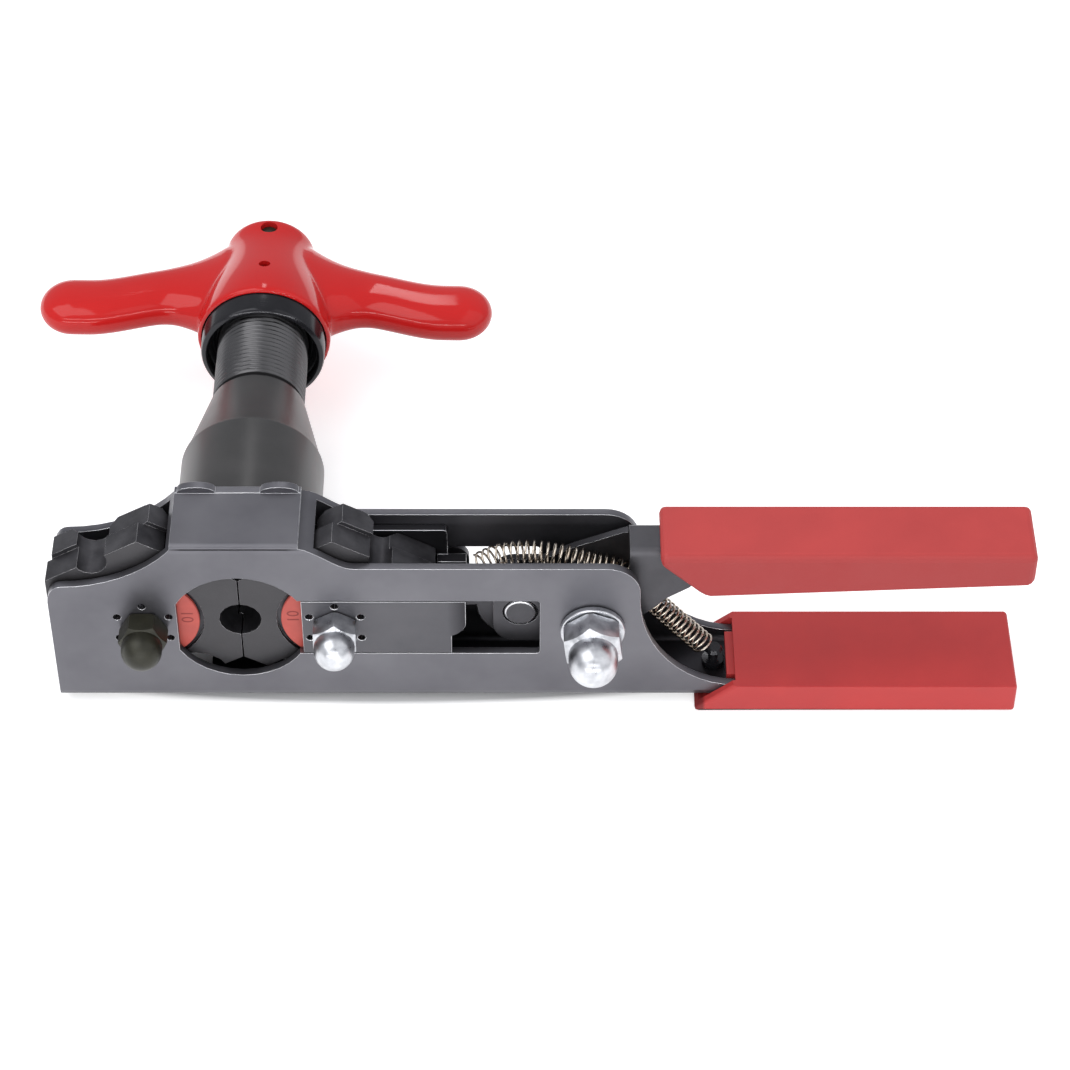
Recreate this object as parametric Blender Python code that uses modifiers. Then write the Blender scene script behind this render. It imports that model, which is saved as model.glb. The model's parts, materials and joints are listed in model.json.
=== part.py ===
"""Flaring tool with two indexing die wheels, a toggle clamp and a screw-fed cone.

Metres, +Z up. The origin is on the tube axis, midway between the side plates.
The tube axis runs along Y, and the jaws close along X.
"""

import math

import bmesh
import bpy
from mathutils import Matrix, Vector

# Clearances
CLEARANCE = 0.0003
SPLIT = 0.00035

# Housing: one folded sheet
SHEET = 0.002
HOUSING_WIDTH = 0.020
UNDERSIDE = -0.0247
HOUSING_LEFT = -0.0444
HOUSING_TOP = 0.0195
BEND_RADIUS = 0.003
LEFT_CORNER_HEIGHT = 0.0052
LEFT_FLANK_RADIUS = 0.0346
LEFT_FLANK_FOOT = -0.041
LEFT_FLANK_HEIGHT = 0.0136
RIGHT_FLANK_FOOT = 0.0275
FLANK_TOP = 0.0257
BRIDGE_HALF = 0.0148
BRIDGE_TOP = 0.0265
HUMP_TOP = 0.0284
HUMP_INNER = 0.00525
HUMP_OUTER = 0.0142
WINDOW_RADIUS = 0.0165
WINDOW_HALF = 0.0146
SLOT_HALF = 0.0089
SLOT_END = 0.0706
SHOULDER_RADIUS = 0.008
TAIL_START = 0.118
TAIL_WALL_TOP = -0.0200
TAIL_END = 0.180
TAIL_INSET = 0.0004

# Die wheels
DIE_SPACING = 0.045
DIE_GAP = 0.0007
DIE_THICKNESS = 0.0128
DIE_STEP = 0.0011
DIE_LAP = 0.0001
DIE_FLARE = 0.002
TUBE_SIZES = (0.010, 0.012, 0.008, 0.015, 0.006, 0.016)
DIE_BORE = 0.0098
DIAL_RADIUS = 0.0137
DIAL_INNER = 0.0088
DIAL_THICKNESS = 0.0009
DIAL_PROUD = 0.0002
DETENT_CIRCLE = 0.007
DETENT_HOLE = 0.002
DETENT_BALL = 0.0026
DETENT_POCKET = 0.0055
DETENT_WIRE = 0.0004
DETENT_TURNS = 3

# Axles, nuts and rivets
AXLE_THREAD = 0.006
AXLE_HEAD = 0.0088
AXLE_HEAD_HEIGHT = 0.0022
SMALL_NUT = {"flats": 0.010, "hex": 0.0055, "dome": 0.0092, "height": 0.012}
BIG_NUT = {"flats": 0.013, "hex": 0.0065, "dome": 0.0116, "height": 0.015}
PIVOT_THREAD = 0.008
PIVOT_HEAD = 0.0145
PIVOT_HEAD_HEIGHT = 0.0035
WASHER_DIAMETER = 0.0152
WASHER_THICKNESS = 0.0016

# Toggle: pivot, crank, link and slide pin
JAW_TRAVEL = 0.005
PIVOT_X = 0.083
CRANK = 0.017
SLIDE_PIN_X = 0.0502
SLIDE_PIN_Z = 0.003
CRANK_PIN = 0.008
SLIDE_PIN = 0.003
PIN_PLAY_LEFT = 0.0010
PIN_PLAY_RIGHT = 0.0005
SLEEVE_DIAMETER = 0.012
ROLLER_DIAMETER = 0.0154

# Lever
LEVER_WIDTH = 0.010
LEVER_SHEET = 0.0018
LEVER_BEND = 0.0022
LEVER_TOP = 0.0204
LEVER_END = 0.182
WEB_START = 0.0918
CHEEK_HALF = 0.0095
CHEEK_END = 0.0596
CHEEK_CORNER = 0.005
LEVER_TAIL_HEIGHT = 0.0055

# Grips
UPPER_GRIP_WIDTH = 0.018
UPPER_GRIP_TOP = 0.0222
UPPER_GRIP_START = 0.0985
UPPER_GRIP_END = 0.1858
LOWER_GRIP_WIDTH = 0.025
LOWER_GRIP_TOP = -0.0180
LOWER_GRIP_BOTTOM = -0.0266
LOWER_GRIP_START = 0.1078
LOWER_GRIP_SHELF = 0.1168
LOWER_GRIP_END = 0.1846
GRIP_ROUNDING = 0.002

# Spring
SPRING_DIAMETER = 0.0058
SPRING_WIRE = 0.0006
SPRING_PITCH = 0.0021
SPRING_POINTS_PER_TURN = 6
POST_X = 0.1125
POST_DIAMETER = 0.003

# Spindle, along Y from the back plate
NOSE_DIAMETER = 0.0352
NOSE_LENGTH = 0.034
NOSE_TAPER = 0.0213
THREAD_DIAMETER = 0.0230
THREAD_LENGTH = 0.034
NOSE_BORE = 0.0202
NOSE_BORE_DEPTH = 0.040
SHAFT_DIAMETER = 0.010
SPIGOT_DIAMETER = 0.027
CONE_DIAMETER = 0.0190
CONE_BODY = 0.009
CONE_TIP = 0.0145
CONE_TIP_FLAT = 0.001
JOURNAL_DIAMETER = 0.006
JOURNAL_LENGTH = 0.0075
CONE_BALL = 0.004
CLIP_DIAMETER = 0.0125
CLIP_THICKNESS = 0.0012
INSERT_DIAMETER = 0.0316
INSERT_START = 0.0852
INSERT_VISIBLE = 0.0063
INSERT_LENGTH = 0.0155
INSERT_MOUTH = 0.0284
INSERT_MOUTH_DEPTH = 0.0035
HUB_DIAMETER = 0.0232
HUB_END = 0.1272
HUB_FLARE_END = 0.115
SKIRT_DIAMETER = 0.0346
HUB_CAVITY = 0.0245
HUB_CAVITY_DEPTH = 0.029
WING_SPAN = 0.1175
WING_TIP_RADIUS = 0.0092
WING_TURN = math.radians(1.2)
CROSS_PIN = 0.004
CROSS_PIN_Y = 0.1228
OIL_HOLE = 0.003
OIL_HOLE_Y = 0.1075

# Derived positions
FRONT = -HOUSING_WIDTH / 2
FRONT_IN = FRONT + SHEET
BACK = HOUSING_WIDTH / 2
BACK_IN = BACK - SHEET
DIE_FRONT = FRONT_IN + DIE_GAP
DIE_BACK = DIE_FRONT + DIE_THICKNESS
DIE_APOTHEM = DIE_SPACING / 2 - SPLIT / 2
DIE_MIDDLE = (DIE_FRONT + DIE_BACK) / 2
CRANK_X = PIVOT_X - CRANK

COLOURS = {
    "gunmetal": ((0.19, 0.185, 0.205), 0.38, 0.9),
    "black_oxide": ((0.045, 0.043, 0.048), 0.42, 0.8),
    "zinc": ((0.75, 0.76, 0.78), 0.18, 1.0),
    "dark_nut": ((0.05, 0.048, 0.035), 0.35, 0.7),
    "satin_black": ((0.05, 0.05, 0.052), 0.32, 0.6),
    "gloss_black": ((0.02, 0.02, 0.023), 0.2, 0.6),
    "red_paint": ((0.56, 0.025, 0.025), 0.15, 0.0),
    "red_grip": ((0.55, 0.09, 0.085), 0.55, 0.0),
    "coral": ((0.66, 0.12, 0.09), 0.5, 0.0),
    "steel": ((0.5, 0.5, 0.52), 0.3, 1.0),
    "spring_steel": ((0.42, 0.38, 0.33), 0.3, 1.0),
}


# Scene helpers

def clear_scene():
    for item in list(bpy.data.objects):
        bpy.data.objects.remove(item, do_unlink=True)


def new_collection(name):
    group = bpy.data.collections.new(name)
    bpy.context.scene.collection.children.link(group)
    return group


def finish(name, colour):
    """The named colour's settings in a material of the piece's own."""
    base, roughness, metallic = COLOURS[colour]
    material = bpy.data.materials.new(name + "_finish")
    material.use_nodes = True
    shader = material.node_tree.nodes["Principled BSDF"]
    shader.inputs["Base Color"].default_value = (*base, 1.0)
    shader.inputs["Roughness"].default_value = roughness
    shader.inputs["Metallic"].default_value = metallic
    material.diffuse_color = (*base, 1.0)
    return material


def add_object(name, data, group):
    item = bpy.data.objects.new(name, data)
    group.objects.link(item)
    return item


def baked(item):
    """The evaluated mesh of an object, moved to world space in a plain object of the same name."""
    bpy.context.view_layer.update()
    graph = bpy.context.evaluated_depsgraph_get()
    mesh = bpy.data.meshes.new_from_object(item.evaluated_get(graph))
    mesh.transform(item.matrix_world)
    edit = bmesh.new()
    edit.from_mesh(mesh)
    bmesh.ops.remove_doubles(edit, verts=edit.verts, dist=0.000002)
    bmesh.ops.recalc_face_normals(edit, faces=edit.faces)
    edit.to_mesh(mesh)
    edit.free()
    name = item.name
    group = item.users_collection[0]
    bpy.data.objects.remove(item, do_unlink=True)
    plain = add_object(name, mesh, group)
    mesh.name = name
    return plain


def combine(item, other, operation):
    """One Boolean step, applied. The second object is a guide and is removed."""
    other.hide_render = True
    other.display_type = "WIRE"
    step = item.modifiers.new(operation.lower(), "BOOLEAN")
    step.operation = operation
    step.solver = "EXACT"
    step.object = other
    result = baked(item)
    bpy.data.objects.remove(other, do_unlink=True)
    return result


def join(item, *others):
    for other in others:
        item = combine(item, other, "UNION")
    return item


def cut(item, *cutters):
    for cutter in cutters:
        item = combine(item, cutter, "DIFFERENCE")
    return item


def rounded(item, width, segments=2, angle=40):
    bevel = item.modifiers.new("rounding", "BEVEL")
    bevel.width = width
    bevel.segments = segments
    bevel.limit_method = "ANGLE"
    bevel.angle_limit = math.radians(angle)
    bevel.use_clamp_overlap = True
    return baked(item)


# Outlines: lists of (x, z) pairs about the tube axis

def arc(centre, radius, start, end, steps):
    """Points from one angle to another, in degrees, counter-clockwise seen from the front."""
    points = []
    for index in range(steps + 1):
        angle = math.radians(start + (end - start) * index / steps)
        points.append((centre[0] + radius * math.cos(angle), centre[1] + radius * math.sin(angle)))
    return points


def circle(centre, radius, steps=24):
    return arc(centre, radius, 0, 360, steps)[:-1]


def ellipse_arc(centre, radii, start, end, steps):
    points = []
    for x, z in arc((0.0, 0.0), 1.0, start, end, steps):
        points.append((centre[0] + radii[0] * x, centre[1] + radii[1] * z))
    return points


def rounded_outline(corners, radius, steps=4):
    """A closed outline with each corner turned into an arc of the given radius."""
    points = []
    count = len(corners)
    for index in range(count):
        corner = Vector(corners[index])
        before = (Vector(corners[index - 1]) - corner).normalized()
        after = (Vector(corners[(index + 1) % count]) - corner).normalized()
        half = before.angle(after) / 2
        centre = corner + (before + after).normalized() * radius / math.sin(half)
        first = corner + before * radius / math.tan(half) - centre
        last = corner + after * radius / math.tan(half) - centre
        turn = first.angle_signed(last)
        for step in range(steps + 1):
            angle = -turn * step / steps
            spoke = Vector((
                first.x * math.cos(angle) - first.y * math.sin(angle),
                first.x * math.sin(angle) + first.y * math.cos(angle),
            ))
            points.append(tuple(centre + spoke))
    return points


# Solids

def flat_curve(name, outlines, thickness, group):
    data = bpy.data.curves.new(name, "CURVE")
    data.dimensions = "2D"
    data.fill_mode = "BOTH"
    data.extrude = thickness / 2
    for outline in outlines:
        spline = data.splines.new("POLY")
        spline.points.add(len(outline) - 1)
        for point, (x, z) in zip(spline.points, outline):
            point.co = (x, z, 0.0, 1.0)
        spline.use_cyclic_u = True
    return add_object(name, data, group)


def plate(name, outlines, front, back, group=None):
    """A flat piece between two planes of constant Y. The first outline is the rim, the rest are holes."""
    item = flat_curve(name, outlines, back - front, group or guides)
    item.rotation_euler = (math.pi / 2, 0.0, 0.0)
    item.location = (0.0, (front + back) / 2, 0.0)
    return baked(item)


def bar(name, outlines, left, right, group=None):
    """A section of (y, z) pairs, extruded along X. Outlines after the first are holes."""
    item = flat_curve(name, outlines, right - left, group or guides)
    item.rotation_euler = (math.pi / 2, 0.0, math.pi / 2)
    item.location = ((left + right) / 2, 0.0, 0.0)
    return baked(item)


def box(name, low, high, group=None):
    """A block between two corners, with Z from the tube axis."""
    mesh = bpy.data.meshes.new(name)
    edit = bmesh.new()
    bmesh.ops.create_cube(edit, size=1.0)
    size = Vector(high) - Vector(low)
    middle = (Vector(high) + Vector(low)) / 2
    for vertex in edit.verts:
        vertex.co = Vector((vertex.co.x * size.x, vertex.co.y * size.y, vertex.co.z * size.z)) + middle
    edit.to_mesh(mesh)
    edit.free()
    return add_object(name, mesh, group or guides)


def turned(name, profile, centre=(0.0, 0.0), steps=20, group=None):
    """A profile of (radius, y) pairs, from the back to the front along its outer side, turned about Y."""
    mesh = bpy.data.meshes.new(name)
    points = [(radius, 0.0, y) for radius, y in profile]
    edges = [(index, index + 1) for index in range(len(points) - 1)]
    if profile[0][0] > 0.0:
        edges.append((len(points) - 1, 0))
    mesh.from_pydata(points, edges, [])
    item = add_object(name, mesh, group or guides)
    screw = item.modifiers.new("turning", "SCREW")
    screw.axis = "Z"
    screw.steps = steps
    screw.render_steps = steps
    screw.use_merge_vertices = True
    screw.merge_threshold = 0.00001
    screw.use_normal_calculate = True
    item.rotation_euler = (-math.pi / 2, 0.0, 0.0)
    item.location = (centre[0], 0.0, centre[1])
    return baked(item)


def rod(name, diameter, front, back, centre=(0.0, 0.0), steps=20, group=None):
    radius = diameter / 2
    return turned(name, [(0.0, back), (radius, back), (radius, front), (0.0, front)], centre, steps, group)


def tube(name, outer, inner, front, back, centre=(0.0, 0.0), steps=20, group=None):
    profile = [(outer / 2, back), (outer / 2, front), (inner / 2, front), (inner / 2, back)]
    return turned(name, profile, centre, steps, group)


def ball(name, diameter, place, group=None, across=8):
    mesh = bpy.data.meshes.new(name)
    edit = bmesh.new()
    bmesh.ops.create_uvsphere(edit, u_segments=across, v_segments=across // 2, radius=diameter / 2)
    bmesh.ops.translate(edit, verts=edit.verts, vec=(place[0], place[1], place[2]))
    edit.to_mesh(mesh)
    edit.free()
    return add_object(name, mesh, group or guides)


def coil(name, path, diameter, wire, pitch, per_turn, group):
    """A helix of wire wound about a path of world points."""
    reach = [0.0]
    for first, second in zip(path, path[1:]):
        reach.append(reach[-1] + (second - first).length)
    turns = round(reach[-1] / pitch)
    count = turns * per_turn
    radius = (diameter - wire) / 2
    data = bpy.data.curves.new(name, "CURVE")
    data.dimensions = "3D"
    data.bevel_depth = wire / 2
    data.bevel_resolution = 2
    data.use_fill_caps = True
    spline = data.splines.new("POLY")
    spline.points.add(count)
    leg = 0
    for index in range(count + 1):
        distance = reach[-1] * index / count
        while leg < len(path) - 2 and distance > reach[leg + 1]:
            leg += 1
        along = (path[leg + 1] - path[leg]).normalized()
        middle = path[leg] + along * (distance - reach[leg])
        across = Vector((0.0, 1.0, 0.0)) if abs(along.y) < 0.5 else Vector((1.0, 0.0, 0.0))
        side = along.cross(across).normalized()
        angle = 2 * math.pi * index / per_turn
        place = middle + radius * (math.cos(angle) * side + math.sin(angle) * across)
        spline.points[index].co = (*place, 1.0)
    return baked(add_object(name, data, group))


def smooth_path(points, per_leg=8):
    """World points on a Catmull-Rom curve through (x, z) pairs in the tool's middle plane."""
    knots = [Vector((x, 0.0, z)) for x, z in points]
    knots = [2 * knots[0] - knots[1]] + knots + [2 * knots[-1] - knots[-2]]
    path = []
    for before, start, end, after in zip(knots, knots[1:], knots[2:], knots[3:]):
        for step in range(per_leg):
            t = step / per_leg
            path.append(0.5 * (
                2 * start
                + (end - before) * t
                + (2 * before - 5 * start + 4 * end - after) * t ** 2
                + (3 * start - before - 3 * end + after) * t ** 3
            ))
    path.append(knots[-2])
    return path


def piece(item, name, colour, axis=None):
    """Names a finished solid, gives it its finish and its origin, and files it with the parts."""
    item.name = name
    item.data.name = name
    for group in list(item.users_collection):
        group.objects.unlink(item)
    parts.objects.link(item)
    item.data.materials.clear()
    item.data.materials.append(finish(name, colour))
    for face in item.data.polygons:
        face.material_index = 0
    item.data.shade_smooth()
    item.data.set_sharp_from_angle(angle=math.radians(32))
    if axis is None:
        low = [min(corner[i] for corner in item.bound_box) for i in range(3)]
        high = [max(corner[i] for corner in item.bound_box) for i in range(3)]
        origin = (Vector(low) + Vector(high)) / 2
    else:
        origin = Vector(axis)
    for vertex in item.data.vertices:
        vertex.co -= origin
    item.location = origin
    return item


# Housing

def hump_outline(side):
    """The top of the back wall on one side of the bridge's tab, from right to left."""
    middle = side * (HUMP_INNER + HUMP_OUTER) / 2
    reach = (HUMP_OUTER - HUMP_INNER) / 2
    return ellipse_arc((middle, BRIDGE_TOP + CLEARANCE), (reach, HUMP_TOP - BRIDGE_TOP - CLEARANCE), 0, 180, 8)


def housing_outline():
    """The side plates' outline, from the tail up and over to the lower left corner."""
    shoulder = (PIVOT_X + 0.003, HOUSING_TOP - SHOULDER_RADIUS)
    hollow_x = shoulder[0] + SHOULDER_RADIUS
    hollow_z = shoulder[1] - 0.002
    hollow = (TAIL_START - hollow_x, hollow_z - TAIL_WALL_TOP)
    outline = [(TAIL_START, UNDERSIDE - SHEET)]
    outline += ellipse_arc((TAIL_START, hollow_z), hollow, 270, 180, 12)
    outline += arc(shoulder, SHOULDER_RADIUS, 0, 90, 8)
    steps = 8
    for index in range(steps):
        x = RIGHT_FLANK_FOOT + (BRIDGE_HALF - RIGHT_FLANK_FOOT) * index / steps
        outline.append((x, FLANK_TOP - (FLANK_TOP - HOUSING_TOP) * smooth_step(BRIDGE_HALF, RIGHT_FLANK_FOOT, x)))
    outline += [(BRIDGE_HALF, FLANK_TOP), (BRIDGE_HALF, BRIDGE_TOP + CLEARANCE)]
    outline += hump_outline(1) + hump_outline(-1)
    outline.append((-BRIDGE_HALF, BRIDGE_TOP + CLEARANCE))
    flank = (LEFT_FLANK_FOOT, LEFT_FLANK_HEIGHT + LEFT_FLANK_RADIUS)
    flank_end = -math.degrees(math.acos((-BRIDGE_HALF - LEFT_FLANK_FOOT) / LEFT_FLANK_RADIUS))
    outline += arc(flank, LEFT_FLANK_RADIUS, flank_end, -90, 8)
    corner = (LEFT_FLANK_FOOT, LEFT_FLANK_HEIGHT - LEFT_CORNER_HEIGHT)
    outline += ellipse_arc(corner, (LEFT_FLANK_FOOT - HOUSING_LEFT, LEFT_CORNER_HEIGHT), 90, 180, 5)[1:]
    outline.append((HOUSING_LEFT, UNDERSIDE - SHEET))
    return outline


def closed_profile():
    """The housing's section at the bridge: outer line and the hollow within it."""
    outline, inside = channel_lines(HOUSING_WIDTH, UNDERSIDE, HUMP_TOP + SHEET, BEND_RADIUS, SHEET)
    outline = outline[:-1]
    outline += arc((FRONT + SHEET, BRIDGE_TOP - SHEET), SHEET, 180, 90, 4)
    outline += [(BACK_IN, BRIDGE_TOP), (BACK_IN, HUMP_TOP + SHEET)]
    hollow = [(y, min(z, BRIDGE_TOP - SHEET)) for y, z in inside]
    return outline, hollow


def channel_lines(width, bottom, top, bend, sheet):
    """The outer and the inner line of a U section with rounded bends, each from the back to the front."""
    half = width / 2
    inner = max(bend - sheet, 0.0005)
    outer_corner = (half - bend, bottom + bend)
    inner_corner = (half - sheet - inner, bottom + sheet + inner)
    outside = [(half, top)] + arc(outer_corner, bend, 0, -90, 5)
    outside += [(-y, z) for y, z in reversed(outside)]
    inside = [(half - sheet, top)] + arc(inner_corner, inner, 0, -90, 3)
    inside += [(-y, z) for y, z in reversed(inside)]
    return outside, inside


def channel_profile(width, bottom, top, bend, sheet):
    outside, inside = channel_lines(width, bottom, top, bend, sheet)
    return outside + inside[::-1]


def window_outline():
    """The tube window: a circle with its sides cut straight."""
    edge = math.degrees(math.acos(WINDOW_HALF / WINDOW_RADIUS))
    outline = arc((0.0, 0.0), WINDOW_RADIUS, edge, 180 - edge, 12)
    outline += arc((0.0, 0.0), WINDOW_RADIUS, 180 + edge, 360 - edge, 12)
    return outline


def detent_holes(centre, count=6):
    holes = []
    for index in range(count):
        angle = math.radians(90 + 360 / count * index)
        place = (centre[0] + DETENT_CIRCLE * math.cos(angle), centre[1] + DETENT_CIRCLE * math.sin(angle))
        holes.append(circle(place, DETENT_HOLE / 2, 8))
    return holes


def make_housing():
    body = bar("channel", closed_profile(), HOUSING_LEFT - SHEET, TAIL_START - CLEARANCE)
    body = combine(body, plate("blank", [housing_outline()], FRONT - SHEET, BACK + SHEET), "INTERSECT")

    # The tail is drawn in a little, so that the grip slips over it.
    tail_width = HOUSING_WIDTH - 2 * TAIL_INSET
    tail = bar(
        "tail",
        [channel_profile(tail_width, UNDERSIDE + TAIL_INSET, TAIL_WALL_TOP - TAIL_INSET, BEND_RADIUS, SHEET)],
        TAIL_START - SHEET, TAIL_END,
    )
    body = join(body, tail)

    slot = rounded_outline(
        [(0.0, -SLOT_HALF), (SLOT_END, -SLOT_HALF), (SLOT_END, SLOT_HALF), (0.0, SLOT_HALF)], 0.0008, 2
    )
    left = (-DIE_SPACING / 2, 0.0)
    body = cut(
        body,
        plate("window", [window_outline()], FRONT - SHEET, FRONT_IN + DIE_GAP / 2),
        plate("slot", [slot], FRONT - SHEET, BACK + SHEET),
        rod("nose_seat", SPIGOT_DIAMETER + 2 * CLEARANCE, BACK_IN - SHEET, BACK + SHEET, steps=32),
        rod("left_axle_hole", AXLE_THREAD + 2 * CLEARANCE, FRONT - SHEET, BACK + SHEET, left),
        rod("pivot_hole", PIVOT_THREAD + 2 * CLEARANCE, FRONT - SHEET, BACK + SHEET, (PIVOT_X, 0.0)),
    )
    for hole in detent_holes(left):
        body = cut(body, plate("detent", [hole], FRONT - SHEET, FRONT_IN + DIE_GAP / 2))
    sweep = DIE_SPACING / 2 / math.cos(math.radians(30)) + CLEARANCE
    reach = math.sqrt(sweep ** 2 - (UNDERSIDE + SHEET) ** 2) + 2 * CLEARANCE
    right = DIE_SPACING / 2
    for low, high in ((-right - reach, -right + reach), (right - reach, right + reach + JAW_TRAVEL)):
        window = box(
            "wheel_window",
            (low, DIE_FRONT - CLEARANCE, UNDERSIDE - SHEET), (high, DIE_BACK + CLEARANCE, UNDERSIDE + 2 * SHEET),
        )
        body = cut(body, window)
    post_hole = box(
        "post_hole",
        (POST_X - POST_DIAMETER / 2 - CLEARANCE, -POST_DIAMETER / 2 - CLEARANCE, UNDERSIDE - SHEET),
        (POST_X + POST_DIAMETER / 2 + CLEARANCE, POST_DIAMETER / 2 + CLEARANCE, UNDERSIDE + 2 * SHEET),
    )
    body = cut(body, post_hole)
    piece(body, "housing", "gunmetal", (0.0, 0.0, 0.0))


# Die wheels

def wheel_point(centre, heading, along, out):
    """A point of a flat, from the distance along it (counter-clockwise) and out from the axle."""
    angle = math.radians(heading)
    x = centre[0] + out * math.cos(angle) - along * math.sin(angle)
    z = centre[1] + out * math.sin(angle) + along * math.cos(angle)
    return (x, z)


def wheel_block(centre, heading, along, out, front, back):
    """A block on a flat, between two distances along it and two out from the axle."""
    corners = ((along[0], out[0]), (along[1], out[0]), (along[1], out[1]), (along[0], out[1]))
    outline = [wheel_point(centre, heading, t, n) for t, n in corners]
    return plate("block", [outline], front, back)


def make_die_wheel(name, centre, first_heading, plate_face, ball_angle):
    """A six-sided wheel with a half-bore in each flat.

    The rear half of each flat has a recess on one side of the bore and a pad on the other, so that
    two such wheels lock into each other and the tube can't be pinched at the split.
    """
    half = DIE_APOTHEM * math.tan(math.radians(30))
    headings = [first_heading + 60 * index for index in range(len(TUBE_SIZES))]
    corners = [wheel_point(centre, heading, half, DIE_APOTHEM) for heading in headings]
    wheel = plate(name, [corners], DIE_FRONT, DIE_BACK)
    pad = (DIE_APOTHEM - 2 * DIE_STEP, DIE_APOTHEM + DIE_STEP)
    recess = (DIE_APOTHEM - DIE_STEP, DIE_APOTHEM + 3 * DIE_STEP)
    overrun = half + 3 * DIE_STEP
    for heading in headings:
        block = wheel_block(centre, heading, (CLEARANCE, half + CLEARANCE), pad, DIE_MIDDLE + CLEARANCE, DIE_BACK - DIE_LAP)
        wheel = join(wheel, block)
    for heading in headings:
        block = wheel_block(centre, heading, (-overrun, -CLEARANCE), recess, DIE_MIDDLE, DIE_BACK + SHEET)
        wheel = cut(wheel, block)
    for heading, size in zip(headings, TUBE_SIZES):
        middle = wheel_point(centre, heading, 0.0, DIE_SPACING / 2)
        wheel = cut(wheel, rod("half_bore", size, DIE_FRONT - SHEET, DIE_BACK + SHEET, middle, 16))
    wheel = cut(
        wheel,
        rod("bore", DIE_BORE + 2 * CLEARANCE, DIE_FRONT - SHEET, DIE_BACK + SHEET, centre),
        tube(
            "dial_pocket",
            2 * (DIAL_RADIUS + CLEARANCE), 2 * (DIAL_INNER - CLEARANCE),
            DIE_FRONT - SHEET, DIE_FRONT + DIAL_THICKNESS - DIAL_PROUD + CLEARANCE, centre, 32,
        ),
    )
    for index, size in enumerate(TUBE_SIZES):
        mouth = wheel_point(centre, first_heading + 60 * index, 0.0, DIE_SPACING / 2)
        radius = size / 2
        flare = turned(
            "flare",
            [
                (0.0, DIE_BACK + SHEET), (radius + DIE_FLARE + SHEET, DIE_BACK + SHEET),
                (radius, DIE_BACK - DIE_FLARE), (0.0, DIE_BACK - DIE_FLARE),
            ],
            mouth, 16,
        )
        wheel = cut(wheel, flare)
    place = (
        centre[0] + DETENT_CIRCLE * math.cos(math.radians(ball_angle)),
        centre[1] + DETENT_CIRCLE * math.sin(math.radians(ball_angle)),
    )
    pocket_end = DIE_FRONT + DETENT_POCKET
    wheel = cut(
        wheel,
        rod("ball_pocket", DETENT_BALL + 2 * CLEARANCE, DIE_FRONT - SHEET, pocket_end, place, 12),
    )
    axis = (centre[0], 0.0, centre[1])
    piece(wheel, name + "_die_wheel", "black_oxide", axis)
    dial_front = DIE_FRONT - DIAL_PROUD
    dial = tube(
        "dial", 2 * DIAL_RADIUS, 2 * DIAL_INNER, dial_front, dial_front + DIAL_THICKNESS, centre, 32
    )
    piece(dial, name + "_size_dial", "coral", axis)

    # The ball looks into its hole in the plate, and the spring lies behind it.
    hole_radius = DETENT_HOLE / 2
    ball_radius = DETENT_BALL / 2
    ball_y = plate_face + math.sqrt(ball_radius ** 2 - hole_radius ** 2) + CLEARANCE / 2
    piece(ball("ball", DETENT_BALL, (place[0], ball_y, place[1])), name + "_detent_ball", "steel")
    start = Vector((place[0], ball_y + ball_radius + CLEARANCE, place[1]))
    end = Vector((place[0], pocket_end - CLEARANCE, place[1]))
    start.y += DETENT_WIRE / 2
    end.y -= DETENT_WIRE / 2
    pitch = (end - start).length / DETENT_TURNS
    spring = coil("spring", [start, end], DETENT_BALL - CLEARANCE, DETENT_WIRE, pitch, 5, guides)
    piece(spring, name + "_detent_spring", "spring_steel")


def hex_points(centre, flats, turn=90):
    return circle_from(centre, flats / math.sqrt(3), 6, turn)


def circle_from(centre, radius, count, turn):
    return [
        (
            centre[0] + radius * math.cos(math.radians(turn + 360 / count * index)),
            centre[1] + radius * math.sin(math.radians(turn + 360 / count * index)),
        )
        for index in range(count)
    ]


def make_cap_nut(name, sizes, thread, seat, centre, colour):
    """A domed nut in front of the face at seat: hexagon with chamfered corners, neck and dome."""
    hex_front = seat - sizes["hex"]
    corner = sizes["flats"] / math.sqrt(3)
    blank = plate(name, [hex_points(centre, sizes["flats"])], hex_front, seat)
    chamfer = sizes["flats"] * 0.5 * 0.98
    limit = turned(
        "corner_turning",
        [
            (0.0, seat), (corner * 0.95, seat), (corner * 1.02, seat - sizes["hex"] * 0.12),
            (corner * 1.02, hex_front + sizes["hex"] * 0.22), (chamfer, hex_front), (0.0, hex_front),
        ],
        centre, 24,
    )
    nut = combine(blank, limit, "INTERSECT")
    radius = sizes["dome"] / 2
    tip = seat - sizes["height"]
    profile = [(0.0, hex_front + 0.0005), (radius, hex_front + 0.0005)]
    profile += [(radius * math.cos(math.radians(a)), tip + radius * (1 - math.sin(math.radians(a))))
                for a in (0, 25, 50, 72)]
    profile.append((0.0, tip))
    nut = join(nut, turned("dome", profile, centre, 20))
    hole_end = tip + radius
    nut = cut(nut, rod("thread", thread + 2 * CLEARANCE, hole_end, seat + SHEET, centre, 16))
    piece(nut, name, colour)


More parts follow.
